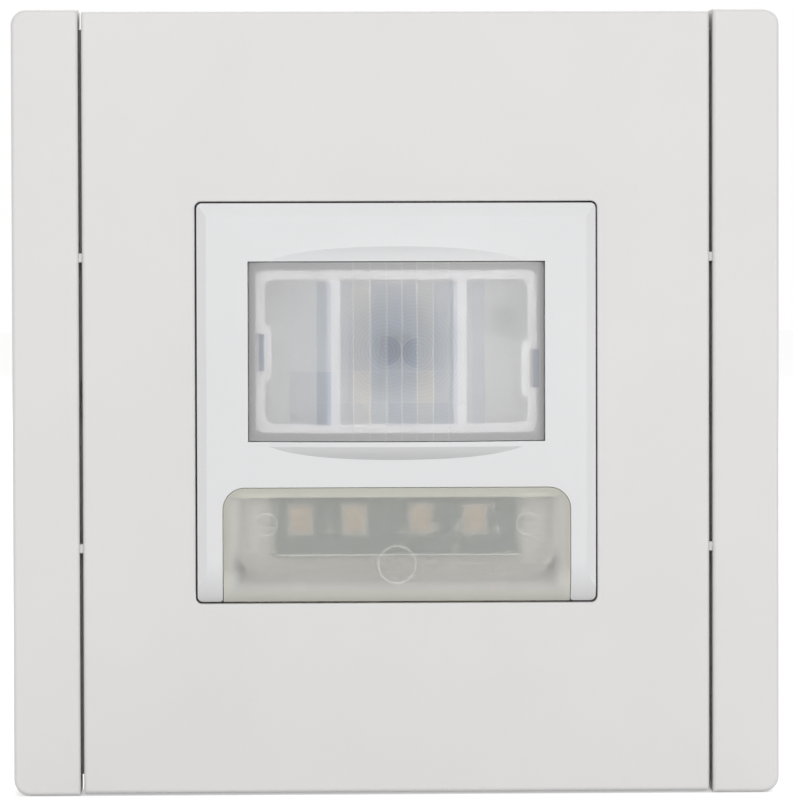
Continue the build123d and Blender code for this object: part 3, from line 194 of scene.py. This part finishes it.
# the colour times a tint, as far as the factor says
def tinted(tree, colour, factor, tint):
    return mixed(tree, factor, colour, (*tint, 1), "MULTIPLY")


def scaled(tree, colour, by):
    node = tree.nodes.new("ShaderNodeVectorMath")
    node.operation = "SCALE"
    tree.links.new(colour, node.inputs[0])
    tree.links.new(by, node.inputs["Scale"])
    return node.outputs["Vector"]


def shade(colour, by=1):
    return tuple(min(1.0, channel * by) for channel in colour[:3]) + (1.0,)


# the place across and up, in millimetres
def acrossAndUp(tree, where):
    parts = tree.nodes.new("ShaderNodeSeparateXYZ")
    tree.links.new(where, parts.inputs["Vector"])
    return [number(tree, "DIVIDE", parts.outputs[axis], mm) for axis in ("X", "Z")]


def distanceFrom(tree, x, z, centreX, centreZ):
    offX = number(tree, "SUBTRACT", x, centreX)
    offZ = number(tree, "SUBTRACT", z, centreZ)
    total = number(tree, "MULTIPLY_ADD", offX, offX, number(tree, "MULTIPLY", offZ, offZ))
    return number(tree, "SQRT", total)


# 1 well inside the rectangle, 0 outside it
def inside(tree, x, z, rectangle, soft):
    left, bottom, right, top = rectangle
    sideways = number(tree, "MINIMUM", number(tree, "SUBTRACT", x, left), number(tree, "SUBTRACT", right, x))
    upward = number(tree, "MINIMUM", number(tree, "SUBTRACT", z, bottom), number(tree, "SUBTRACT", top, z))
    node = tree.nodes.new("ShaderNodeMapRange")
    node.inputs["From Max"].default_value = soft
    tree.links.new(number(tree, "MINIMUM", sideways, upward), node.inputs["Value"])
    return node.outputs["Result"]


# stage and light: white all round, brighter from above and in front
stage = {
    "white": (1, 1, 1, 1),
    "floorGap": 0.1,
    "floorSize": 6.0,  # metres
    "floorColour": (0.95, 0.95, 0.95, 1),
    "floorBounce": (0.66, 0.66, 0.66, 1),  # what the floor sends back up to the object
    "floorGlow": 0.42,  # only to the camera, so that the far floor is white too
    "floorRough": 0.9,
    "floorGloss": 0.1,
    "worldLevel": 0.55,
    "lamps": {
        "key": {"place": (-0.4, -1.7, 0.62), "size": (1.44, 1.12), "watts": 8.9},
        "fill": {"place": (0.8, -1.76, 0.15), "size": (1.3, 1.2), "watts": 12.2},
        "back": {"place": (0.2, 0.9, 0.9), "size": (1.0, 0.8), "watts": 6.0},
    },
}


def lamp(name, facts):
    data = bpy.data.lights.new(name, "AREA")
    data.shape = "RECTANGLE"
    data.size, data.size_y = facts["size"]
    data.energy = facts["watts"]
    thing = bpy.data.objects.new(name, data)
    bpy.context.collection.objects.link(thing)
    thing.location = facts["place"]
    thing.rotation_euler = (-Vector(facts["place"])).to_track_quat("-Z", "Y").to_euler()


# 1 for what the camera sees, also in a reflection or through clear plastic
def seenDirectly(tree):
    path = tree.nodes.new("ShaderNodeLightPath")
    seen = path.outputs["Is Camera Ray"]
    for kind in ("Is Glossy Ray", "Is Transmission Ray"):
        seen = number(tree, "MAXIMUM", seen, path.outputs[kind])
    return seen


# a soft level for the object, and plain white where the camera looks past it
def whiteWorld():
    world = bpy.data.worlds.new("studio")
    bpy.context.scene.world = world
    world.use_nodes = True
    tree = world.node_tree
    tree.nodes.clear()
    out = tree.nodes.new("ShaderNodeOutputWorld")
    mix = tree.nodes.new("ShaderNodeMixShader")
    tree.links.new(seenDirectly(tree), mix.inputs[0])
    for side, strength in ((1, stage["worldLevel"]), (2, 1)):
        sky = tree.nodes.new("ShaderNodeBackground")
        sky.inputs["Color"].default_value = stage["white"]
        sky.inputs["Strength"].default_value = strength
        tree.links.new(sky.outputs[0], mix.inputs[side])
    tree.links.new(mix.outputs[0], out.inputs[0])


def paleFloor():
    mesh = bpy.data.meshes.new("floor")
    half = stage["floorSize"] / 2
    corners = [(-half, -half, 0), (half, -half, 0), (half, half, 0), (-half, half, 0)]
    mesh.from_pydata(corners, [], [(0, 1, 2, 3)])
    floor = bpy.data.objects.new("floor", mesh)
    floor.location.z = cadBox[0][2] - stage["floorGap"] * mm
    bpy.context.collection.objects.link(floor)
    material, tree, shader = newMaterial("floorWhite")
    seen = seenDirectly(tree)
    setSockets(tree, shader, {
        "Base Color": mixed(tree, seen, stage["floorBounce"], stage["floorColour"]),
        "Emission Color": stage["white"],
        "Emission Strength": number(tree, "MULTIPLY", seen, stage["floorGlow"]),
        "Roughness": stage["floorRough"],
        "Specular IOR Level": stage["floorGloss"],
    })
    mesh.materials.append(material)


for lampName, facts in stage["lamps"].items():
    lamp(lampName, facts)
whiteWorld()
paleFloor()
print("stage lit")


# a moulded plastic: even colour with faint clouding, and a fine spark-eroded grain
mould = {
    "cloudScale": 60,
    "cloudSpan": (0.3, 0.7),
    "smoother": 0.05,  # how far the roughness strays from its middle
    "rougher": 0.06,
    "grainStrength": 0.25,
}


def mouldedPlastic(name, colour, rough=0.42, grain=9000, depth=0.03, cloud=0.012):
    material, tree, shader = newMaterial(name)
    where = place(tree)
    clouds = noise(tree, where, mould["cloudScale"], detail=2)
    low, high = mould["cloudSpan"]
    fine = noise(tree, where, grain, detail=4, rough=0.6)
    setSockets(tree, shader, {
        "Base Color": ramp(tree, clouds, [(low, shade(colour, 1 - cloud)), (high, shade(colour, 1 + cloud))]),
        "Roughness": spread(tree, fine, rough - mould["smoother"], rough + mould["rougher"]),
    })
    bump(tree, shader, fine, mould["grainStrength"], depth)
    return material


# drawn or stamped metal with fine streaks
streak = {
    "scale": 1500,
    "span": (0.25, 0.75),
    "dark": 0.9,
    "bright": 1.08,
    "smoother": 0.08,
    "rougher": 0.12,
    "strength": 0.15,
    "depth": 0.01,
}


def streakedMetal(name, colour, rough=0.32, along=(1, 1, 12)):
    material, tree, shader = newMaterial(name)
    streaks = noise(tree, place(tree, along), streak["scale"], detail=4, rough=0.6)
    low, high = streak["span"]
    tones = [(low, shade(colour, streak["dark"])), (high, shade(colour, streak["bright"]))]
    setSockets(tree, shader, {
        "Metallic": 1.0,
        "Base Color": ramp(tree, streaks, tones),
        "Roughness": spread(tree, streaks, rough - streak["smoother"], rough + streak["rougher"]),
    })
    bump(tree, shader, streaks, streak["strength"], streak["depth"])
    return material


# lacquered board: straight copper tracks under the lacquer, and small tinned vias
lacquer = {
    "pitch": 1.27,
    "runLength": 3.5,  # a track's straight run, in pitches
    "trackWidth": 0.16,
    "trackSoft": 0.1,
    "stagger": 0.37,
    "squash": 1.6,
    "squashEvery": 3,
    "lift": 1.12,  # every other field is a little lighter
    "via": 0.13,
    "viaSpread": 0.6,
    "tinShine": 0.8,
    "weaveScale": 4000,
    "roughSpan": (0.28, 0.4),
    "strength": 0.4,
    "depth": 0.03,
}


def boardLacquer(name, colour, track, tin):
    material, tree, shader = newMaterial(name)
    where = place(tree)
    flat = tree.nodes.new("ShaderNodeMapping")  # the bricks lie across and up the board
    flat.inputs["Rotation"].default_value = (math.radians(90), 0, 0)
    tree.links.new(where, flat.inputs["Vector"])
    tracks = tree.nodes.new("ShaderNodeTexBrick")
    tracks.offset = lacquer["stagger"]
    tracks.squash = lacquer["squash"]
    tracks.squash_frequency = lacquer["squashEvery"]
    setSockets(tree, tracks, {
        "Vector": flat.outputs["Vector"],
        "Color1": colour,
        "Color2": shade(colour, lacquer["lift"]),
        "Mortar": track,
        "Scale": 1 / mm,
        "Mortar Size": lacquer["trackWidth"] / 2,
        "Mortar Smooth": lacquer["trackSoft"],
        "Brick Width": lacquer["pitch"] * lacquer["runLength"],
        "Row Height": lacquer["pitch"],
    })
    dots = tree.nodes.new("ShaderNodeTexVoronoi")
    setSockets(tree, dots, {
        "Vector": where,
        "Scale": 1 / (2 * lacquer["pitch"] * mm),
        "Randomness": lacquer["viaSpread"],
    })
    spot = number(tree, "LESS_THAN", dots.outputs["Distance"], lacquer["via"])
    weave = noise(tree, where, lacquer["weaveScale"], detail=2)
    setSockets(tree, shader, {
        "Base Color": mixed(tree, spot, tracks.outputs["Color"], tin),
        "Metallic": number(tree, "MULTIPLY", spot, lacquer["tinShine"]),
        "Roughness": spread(tree, weave, *lacquer["roughSpan"]),
    })
    bump(tree, shader, tracks.outputs["Fac"], lacquer["strength"], lacquer["depth"])
    return material


# enamelled wire, wound in turns along the coil, with painted shade between two turns
winding = {
    "pitch": 0.22,
    "wander": 0.4,
    "dark": 0.45,  # painted shade between two turns
    "metallic": 0.6,
    "rough": 0.35,
    "strength": 0.6,
    "depth": 0.05,
}


def woundCopper(name, colour):
    material, tree, shader = newMaterial(name)
    wave = tree.nodes.new("ShaderNodeTexWave")
    wave.bands_direction = "X"
    setSockets(tree, wave, {
        "Vector": place(tree),
        "Scale": 1 / (math.pi * winding["pitch"] * mm),
        "Distortion": winding["wander"],
    })
    turns = wave.outputs["Fac"]
    setSockets(tree, shader, {
        # painted shade: the colour darkens between two turns
        "Base Color": ramp(tree, turns, [(0.0, shade(colour, winding["dark"])), (1.0, shade(colour))]),
        "Metallic": winding["metallic"],
        "Roughness": winding["rough"],
    })
    bump(tree, shader, turns, winding["strength"], winding["depth"])
    return material


def clearPlastic(name, colour, through, rough, ior):
    material = mouldedPlastic(name, colour, rough, grain=5000, depth=0.01, cloud=0.02)
    tree = material.node_tree
    setSockets(tree, tree.nodes["Principled BSDF"], {"Transmission Weight": through, "IOR": ior})
    return material


plastics = {
    "plate_white": {"colour": (0.75, 0.742, 0.735), "rough": 0.4},
    "cover_white": {"colour": (0.765, 0.768, 0.775), "rough": 0.36},
    "inner_white": {"colour": (0.8, 0.8, 0.805), "rough": 0.5},
    "tray_white": {"colour": (0.74, 0.73, 0.71), "rough": 0.5},
    "frame_grey": {"colour": (0.66, 0.66, 0.645), "rough": 0.5, "depth": 0.06},
    "housing_grey": {"colour": (0.62, 0.62, 0.605), "rough": 0.5, "depth": 0.09, "cloud": 0.02},
    "block_grey": {"colour": (0.2, 0.205, 0.215), "rough": 0.45, "depth": 0.06},
    "dial_white": {"colour": (0.74, 0.74, 0.72), "rough": 0.42},
    "led_white": {"colour": (0.44, 0.43, 0.41), "rough": 0.4},
    "phosphor": {"colour": (0.5, 0.36, 0.23), "rough": 0.3, "cloud": 0.05},
    "chip_black": {"colour": (0.02, 0.02, 0.022), "rough": 0.55, "depth": 0.05},
    "relay_cover": {"colour": (0.02, 0.05, 0.16), "rough": 0.25},
    "film_yellow": {"colour": (0.62, 0.36, 0.03), "rough": 0.3},
    "can_sleeve": {"colour": (0.012, 0.016, 0.04), "rough": 0.3},
    "varistor_blue": {"colour": (0.02, 0.07, 0.3), "rough": 0.35, "grain": 2500, "depth": 0.1},
    "fuse_green": {"colour": (0.16, 0.34, 0.25), "rough": 0.4, "grain": 2500, "depth": 0.08},
    "trimmer_blue": {"colour": (0.03, 0.1, 0.34), "rough": 0.4},
}
metals = {
    "pin_gold": {"colour": (0.8, 0.58, 0.22), "rough": 0.3},
    "can_metal": {"colour": (0.3, 0.32, 0.36), "rough": 0.35, "along": (12, 12, 1)},
    "screw_steel": {"colour": (0.62, 0.62, 0.6), "rough": 0.34},
    "bar_brass": {"colour": (0.74, 0.56, 0.26), "rough": 0.3},
    "clamp_steel": {"colour": (0.58, 0.58, 0.57), "rough": 0.36},
}
boards = {
    "board_green": {
        "colour": (0.022, 0.075, 0.065, 1),
        "track": (0.05, 0.14, 0.11, 1),
        "tin": (0.5, 0.5, 0.48, 1),
    },
}
clears = {
    "filter_dark": {"colour": (0.06, 0.06, 0.09), "through": 0.5, "rough": 0.1, "ior": 1.45},
    "cell_clear": {"colour": (0.8, 0.86, 0.95), "through": 0.8, "rough": 0.08, "ior": 1.5},
}
coils = {"coil_copper": {"colour": (0.62, 0.26, 0.1)}}
makers = ((mouldedPlastic, plastics), (streakedMetal, metals), (boardLacquer, boards), (clearPlastic, clears),
          (woundCopper, coils))
finishes = {}
for maker, table in makers:
    for slotName, facts in table.items():
        finishes[slotName] = maker(slotName, **facts)


# what the window and the lens share: a hazy body with a fine etched grain and a soft gloss
def hazyBody(tree, shader, where, facts, through):
    fine = noise(tree, where, facts["grain"])
    rough = facts["rough"]
    shader.inputs["Transmission Weight"].default_value = facts["through"]
    setSockets(tree, shader, {
        "Transmission Weight": through,
        "Roughness": spread(tree, fine, rough - facts["smoother"], rough + facts["rougher"]),
        "IOR": facts["ior"],
        "Coat Weight": facts["coat"],
        "Coat Roughness": facts["coatRough"],
    })


# the night-light window: hazier along its thick rim and where the mould's pins have marked it, with painted
# light over the tray's posts
window = {
    "flange": 0.82,  # behind the cover, at the sides and the top
    "rimSide": 0.85,
    "rimTop": 1.07,
    "rimBottom": 1.2,
    "rimSoft": 0.12,
    "rimFade": 1.2,  # how far the haze of the rim reaches in
    "footTop": -18.3,
    "footSoft": 1.9,
    "footThrough": 0.24,  # less than above the foot
    "colour": (0.86, 0.855, 0.825),
    "rimColour": (0.86, 0.85, 0.77),
    "cloudScale": 90,
    "cloudSpan": (0.985, 1.01),
    "through": 0.8,
    "rimThrough": 0.5,
    "rough": 0.5,
    "smoother": 0.03,
    "rougher": 0.04,
    "grain": 6000,
    "ior": 1.36,
    "coat": 0.25,
    "coatRough": 0.22,
    "marks": ((-14.68, -13.62, 1.24), (14.68, -13.62, 1.24), (0.0, -18.15, 2.09)),  # middle and radius
    "markHalf": 0.085,
    "markThrough": 0.6,
    "markTint": (1.03, 1.03, 1.02),
    "seam": (-13.3, -17.12, 13.7, -16.98),
    "seamSoft": 0.02,
    "seamHaze": 0.3,
    "posts": ((-12.0, -21.3, -10.0, -19.9), (10.2, -21.3, 12.5, -19.9)),  # painted light: the window is lighter where the tray's posts show
    "postSoft": 0.35,
    "postLightTint": (1.04, 1.02, 1.02),
}


# how much light the window lets through: less in its rim and its foot
def windowThrough(tree, z, middle, faded):
    foot = number(tree, "DIVIDE", number(tree, "SUBTRACT", window["footTop"], z), window["footSoft"])
    through = spread(tree, number(tree, "MINIMUM", middle, faded), window["rimThrough"], window["through"])
    return number(tree, "SUBTRACT", through, spread(tree, foot, 0.0, window["footThrough"]))


def hazyWindow():
    material, tree, shader = newMaterial("window_smoke")
    where = place(tree)
    x, z = acrossAndUp(tree, where)
    left, bottom, right, top = shownOf("light_window", window["flange"], 0, window["flange"])
    left, bottom, right = left + window["rimSide"], bottom + window["rimBottom"], right - window["rimSide"]
    middle = inside(tree, x, z, (left, bottom, right, top - window["rimTop"]), window["rimSoft"])
    faded = inside(tree, x, z, (left, bottom, right, top + window["rimFade"]), window["rimFade"])
    through = windowThrough(tree, z, middle, faded)
    clouds = spread(tree, noise(tree, where, window["cloudScale"], detail=2), *window["cloudSpan"])
    tones = [(0.0, shade(window["rimColour"])), (1.0, shade(window["colour"]))]
    colour = scaled(tree, ramp(tree, middle, tones), clouds)
    for centreX, centreZ, radius in window["marks"]:
        ring = number(tree, "COMPARE", distanceFrom(tree, x, z, centreX, centreZ), radius, window["markHalf"])
        less = number(tree, "MULTIPLY", ring, window["through"] - window["markThrough"])
        through = number(tree, "SUBTRACT", through, less)
        colour = tinted(tree, colour, ring, window["markTint"])
    # painted light: the window's colour is lightened over the tray's posts behind it
    for post in window["posts"]:
        colour = tinted(tree, colour, inside(tree, x, z, post, window["postSoft"]), window["postLightTint"])
    tree.links.new(colour, shader.inputs["Base Color"])
    seam = inside(tree, x, z, window["seam"], window["seamSoft"])
    through = number(tree, "SUBTRACT", through, number(tree, "MULTIPLY", seam, window["seamHaze"]))
    hazyBody(tree, shader, where, window, through)
    return material


finishes["window_smoke"] = hazyWindow()
print("finishes made:", len(finishes))


# the CAD nodes keep their shape and get softened edges and their finish
edges = {
    "softNodes": {"centre_panel": 0.08, "left_rail": 0.08, "right_rail": 0.08, "front_bezel": 0.06,
                  "rear_housing": 0.12, "terminal_block": 0.12, "support_frame": 0.1, "plate_carrier": 0.08,
                  "lux_dial": 0.06, "time_dial": 0.06, "line_clamp": 0.08, "neutral_clamp": 0.08,
                  "load_clamp": 0.08, "relay_base": 0.1, "light_reflector": 0.06, "sensor_shroud": 0.08,
                  "lens_retainer": 0.05, "led_packages": 0.04, "control_chip": 0.06, "power_board": 0.04,
                  "sensor_board": 0.04, "led_board": 0.04, "board_connector": 0.06, "contact_bars": 0.05},
    "angle": 32,
    "segments": 2,
}
ownFinish = {"light_reflector": "tray_white", "led_header": "clamp_steel"}  # instead of their slot's
slotOf = {part["node"]: part["material_slot"] for part in frame["record"]["subparts"]}


def softEdges(thing, width):
    bevel = thing.modifiers.new("softEdge", "BEVEL")
    bevel.width = width * mm
    bevel.segments = edges["segments"]
    bevel.limit_method = "ANGLE"
    bevel.angle_limit = math.radians(edges["angle"])
    bevel.harden_normals = True


for nodeName, thing in nodes.items():
    finish = finishes.get(ownFinish.get(nodeName, slotOf[nodeName]))
    if finish:
        thing.data.materials.clear()
        thing.data.materials.append(finish)
    if nodeName in edges["softNodes"]:
        softEdges(thing, edges["softNodes"][nodeName])
print("CAD nodes finished")


# a piece from vertices in millimetres, with vertices at one place joined
def addPiece(name, points, faces, body, material, weld=0.0005):
    mesh = bpy.data.meshes.new(name)
    mesh.from_pydata([tuple(value * mm for value in point) for point in points], [], faces)
    mesh.validate()
    work = bmesh.new()
    work.from_mesh(mesh)
    bmesh.ops.remove_doubles(work, verts=work.verts, dist=weld * mm)
    bmesh.ops.recalc_face_normals(work, faces=work.faces)
    work.to_mesh(mesh)
    work.free()
    thing = bpy.data.objects.new(name, mesh)
    bpy.context.collection.objects.link(thing)
    mesh.materials.append(material)
    mesh.shade_smooth()
    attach(thing, body)
    return thing


# a sheet with a front and a back height at each grid point, closed round its rim
def closedSheet(across, up, frontAt, backAt):
    points = [(x, -heightAt(x, z), z) for heightAt in (frontAt, backAt) for z in up for x in across]
    wide, tall = len(across), len(up)
    half = wide * tall
    faces = []
    for row in range(tall - 1):
        for column in range(wide - 1):
            near = row * wide + column
            faces.append((near, near + 1, near + wide + 1, near + wide))
            far = near + half
            faces.append((far, far + wide, far + wide + 1, far + 1))
    rim = list(range(wide))
    rim += [wide - 1 + wide * row for row in range(1, tall)]
    rim += [half - 1 - column for column in range(1, wide)]
    rim += [wide * (tall - 1 - row) for row in range(1, tall)]
    for here, there in zip(rim, rim[1:]):
        faces.append((here, there, half + there, half + here))
    return points, faces


# the lens: a smooth curved front, and facets with ring relief on its inner face
lens = {
    "curve": 54.0,
    "skin": 0.7,
    "sideWall": 0.8,
    "wallSlope": 0.01,
    "flangeSide": 1.2,
    "flangeEnd": 0.35,
    "flangeDeep": 0.8,
    "nodeEnd": 2.0,  # the flange of the node that it replaces runs this far above and below
    "step": 0.15,
    "sharpAngle": 35,
    "ringPitch": 0.42,
    "ringDepth": 0.014,
    "grooveHalf": 0.06,
    "grooveDepth": 0.08,
    "facetEdges": (-4.9, -3.03, -1.22, 0.53, 2.22, 4.03, 5.75),  # the middle one parts the two sets of rings
    "outerEdges": (-12.0, -9.0, 9.8),
    "levelEdges": (3.56, 0.08),
    "ringCentres": ((-1.22, 5.86), (2.22, 5.6)),
}
lensSpan = shownOf("fresnel_lens", lens["flangeSide"], lens["nodeEnd"], lens["nodeEnd"])
lensFrontOut, lensBackOut = -boxOf("fresnel_lens")[1], -boxOf("fresnel_lens")[4]


def curveOut(x, inset):
    radius = lens["curve"] - inset
    return lensFrontOut - lens["curve"] + math.sqrt(radius * radius - x * x)


def uprightEdges():
    return sorted(lens["facetEdges"] + lens["outerEdges"])


def middleEdge():
    return lens["facetEdges"][len(lens["facetEdges"]) // 2]


def nearest(value, places):
    return min(abs(value - spot) for spot in places)


# rings in each facet, cut off at the facet lines
def reliefAt(x, z):
    centreX, centreZ = lens["ringCentres"][0 if x < middleEdge() else 1]
    radius = math.hypot(x - centreX, z - centreZ)
    line = min(nearest(x, uprightEdges()), nearest(z, lens["levelEdges"]))
    if line < lens["grooveHalf"]:
        return lens["grooveDepth"] * (1 - line / lens["grooveHalf"])
    return lens["ringDepth"] * ((radius / lens["ringPitch"]) % 1.0)


def gridLine(low, high, breaks):
    count = round((high - low) / lens["step"])
    line = {round(low + (high - low) * index / count, 5) for index in range(count + 1)}
    line |= {round(value, 5) for value in breaks if low < value < high}
    return sorted(line)


# a groove's middle and its two edges
def sidesOf(places):
    return [spot + shift * lens["grooveHalf"] for spot in places for shift in (-1, 0, 1)]


# how the milky moulding looks from the front: facets, rings, lines and what lies behind it, with painted
# shade over the notches at its ends
milk = {
    "columnTones": ((0.985, 0.985, 0.985), (0.965, 0.967, 0.97), (0.945, 0.952, 0.962), (0.965, 0.957, 0.945),
                    (0.88, 0.9, 0.92), (0.885, 0.9, 0.93), (0.895, 0.91, 0.93), (0.945, 0.94, 0.93),
                    (0.89, 0.905, 0.925), (0.965, 0.967, 0.975), (0.985, 0.985, 0.985)),
    "lineTone": (1.0, 1.0, 1.0),
    "plainTone": (0.95, 0.946, 0.95),  # in front of the retainer's border
    "panes": (-14.5, -2.5, 15.0, 13.6),
    "panesSoft": 0.5,
    "darkFacets": ((-9.0, -2.5, -7.35, 3.56), (5.75, -2.5, 6.8, 13.6), (-9.0, -2.5, -7.35, 13.6)),
    "darkTint": (0.89, 0.905, 0.93),
    "dimFacets": ((-12.0, -2.5, -9.0, 3.56), (-5.5, -2.5, -4.9, 13.6), (8.4, -2.5, 9.8, 13.6),
                  (-1.22, -2.5, 5.75, 0.08)),
    "dimTint": (0.94, 0.95, 0.965),
    "warmFacets": ((-4.9, 0.08, -3.03, 3.56), (2.22, 0.08, 4.03, 3.56)),
    "warmTint": (1.05, 1.035, 1.01),
    "facetSoft": 0.04,
    "ringTone": 0.042,
    "ringFade": 11.0,
    "ringLeast": 0.25,  # of the tone, far from the rings' middle
    "discRadius": 1.62,
    "discTint": (0.88, 0.9, 0.94),
    "shadow": (0.5, 6.7, 5.4, 4.9),  # the sensor can behind: middle, half width and half height
    "shadowReach": 1.4,
    "shadowSoft": 0.5,
    "shadowTint": (0.815, 0.84, 0.865),
    # painted shade: bluish dark patches at the lens's two ends, over the notches where it is held
    "keys": ((-15.45, 3.55, -14.75, 7.75), (15.25, 1.6, 16.05, 5.95)),
    "keyShadeSoft": 0.1,
    "keyShadeTint": (0.76, 0.79, 0.84),
    "levelSpan": (-9.0, 7.0),
    "levelSoft": 0.02,
    "lineTint": (1.07, 1.07, 1.06),
    "lineThrough": 0.1,
    "wallSoft": 0.08,
    "through": 0.77,
    "rimThrough": 0.585,
    "rough": 0.44,
    "smoother": 0.03,
    "rougher": 0.04,
    "grain": 7000,
    "ior": 1.32,
    "coat": 0.3,
    "coatRough": 0.2,
}


# upright facets in their tones, with paler lines between them, and some facets off in tone
def facetColour(tree, x, z):
    left, _, right, _ = lensSpan
    wide = right - left
    stops = [(0.0, shade(milk["columnTones"][0]))]
    for spot, tone in zip(uprightEdges(), milk["columnTones"][1:]):
        stops.append(((spot - left - lens["grooveHalf"]) / wide, shade(milk["lineTone"])))
        stops.append(((spot - left + lens["grooveHalf"]) / wide, shade(tone)))
    along = number(tree, "DIVIDE", number(tree, "SUBTRACT", x, left), wide)
    panes = inside(tree, x, z, milk["panes"], milk["panesSoft"])
    colour = mixed(tree, panes, (*milk["plainTone"], 1), ramp(tree, along, stops, True))
    for kind in ("dark", "dim", "warm"):
        for facet in milk[kind + "Facets"]:
            colour = tinted(tree, colour, inside(tree, x, z, facet, milk["facetSoft"]), milk[kind + "Tint"])
    return colour


# two sets of rings side by side, with a darker half disc in the middle of each
def ringColour(tree, colour, x, z):
    (firstX, firstZ), (secondX, secondZ) = lens["ringCentres"]
    second = number(tree, "GREATER_THAN", x, middleEdge())
    centreX = number(tree, "MULTIPLY_ADD", second, secondX - firstX, firstX)
    centreZ = number(tree, "MULTIPLY_ADD", second, secondZ - firstZ, firstZ)
    radius = distanceFrom(tree, x, z, centreX, centreZ)
    wave = number(tree, "SINE", number(tree, "MULTIPLY", radius, 2 * math.pi / lens["ringPitch"]))
    height = number(tree, "MULTIPLY_ADD", radius, -1 / milk["ringFade"], 1.0)
    height = number(tree, "MULTIPLY", number(tree, "MAXIMUM", height, milk["ringLeast"]), milk["ringTone"])
    colour = scaled(tree, colour, number(tree, "MULTIPLY_ADD", wave, height, 1.0))
    disc = number(tree, "LESS_THAN", radius, milk["discRadius"])
    disc = number(tree, "MULTIPLY", disc, number(tree, "GREATER_THAN", x, firstX))
    disc = number(tree, "MULTIPLY", disc, number(tree, "LESS_THAN", x, secondX))
    return tinted(tree, colour, disc, milk["discTint"])


# the blurred dark of the sensor can, as an ellipse
def shadowColour(tree, colour, x, z):
    centreX, centreZ, halfWide, halfTall = milk["shadow"]
    squeeze = halfWide / halfTall
    flatZ = number(tree, "MULTIPLY_ADD", z, squeeze, centreZ * (1 - squeeze))
    off = number(tree, "DIVIDE", distanceFrom(tree, x, flatZ, centreX, centreZ), halfWide)
    near = number(tree, "SUBTRACT", milk["shadowReach"], off)
    near = number(tree, "SMOOTH_MIN", near, 1.0, milk["shadowSoft"])
    return tinted(tree, colour, number(tree, "MAXIMUM", near, 0.0), milk["shadowTint"])


# 1 on the lines between the facets
def facetLines(tree, x, z):
    half = lens["grooveHalf"]
    low, high = milk["levelSpan"]
    lines = 0.0
    for level in lens["levelEdges"]:
        line = inside(tree, x, z, (low, level - half, high, level + half), milk["levelSoft"])
        lines = number(tree, "MAXIMUM", lines, line)
    for spot in lens["facetEdges"]:
        lines = number(tree, "MAXIMUM", lines, number(tree, "COMPARE", x, spot, half))
    return lines


def milkyLens():
    material, tree, shader = newMaterial("lens_milky")
    where = place(tree)
    x, z = acrossAndUp(tree, where)
    colour = ringColour(tree, facetColour(tree, x, z), x, z)
    colour = shadowColour(tree, colour, x, z)
    # painted shade: the notches at the lens's ends are darkened and blued in its colour
    for key in milk["keys"]:
        colour = tinted(tree, colour, inside(tree, x, z, key, milk["keyShadeSoft"]), milk["keyShadeTint"])
    lines = facetLines(tree, x, z)
    tree.links.new(tinted(tree, colour, lines, milk["lineTint"]), shader.inputs["Base Color"])

    left, bottom, right, top = lensSpan
    wall = lens["sideWall"]
    skin = inside(tree, x, z, (left + wall, bottom + wall, right - wall, top - wall), milk["wallSoft"])
    through = spread(tree, skin, milk["rimThrough"], milk["through"])
    through = number(tree, "SUBTRACT", through, number(tree, "MULTIPLY", lines, milk["lineThrough"]))
    hazyBody(tree, shader, where, milk, through)
    return material


def makeLens():
    left, bottom, right, top = lensSpan
    wall = lens["sideWall"]
    slope = lens["wallSlope"]
    across = gridLine(left + wall, right - wall, sidesOf(uprightEdges()))
    across += [left - lens["flangeSide"], left, left + slope, left + wall - slope]
    across += [right - wall + slope, right - slope, right, right + lens["flangeSide"]]
    up = gridLine(bottom + wall, top - wall, sidesOf(lens["levelEdges"]))
    up += [bottom - lens["flangeEnd"], bottom, bottom + slope, bottom + wall - slope]
    up += [top - wall + slope, top - slope, top, top + lens["flangeEnd"]]

    def frontAt(x, z):
        if left < x < right and bottom < z < top:
            return curveOut(x, 0)
        return lensBackOut + lens["flangeDeep"]

    def backAt(x, z):
        if left + wall <= x <= right - wall and bottom + wall <= z <= top - wall:
            return curveOut(x, lens["skin"]) + reliefAt(x, z)
        return lensBackOut

    points, faces = closedSheet(sorted(across), sorted(up), frontAt, backAt)
    piece = addPiece("lensFacets", points, faces, "wall_unit", milkyLens())
    piece.data.set_sharp_from_angle(angle=math.radians(lens["sharpAngle"]))
    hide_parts("fresnel_lens")


makeLens()
print("lens made")
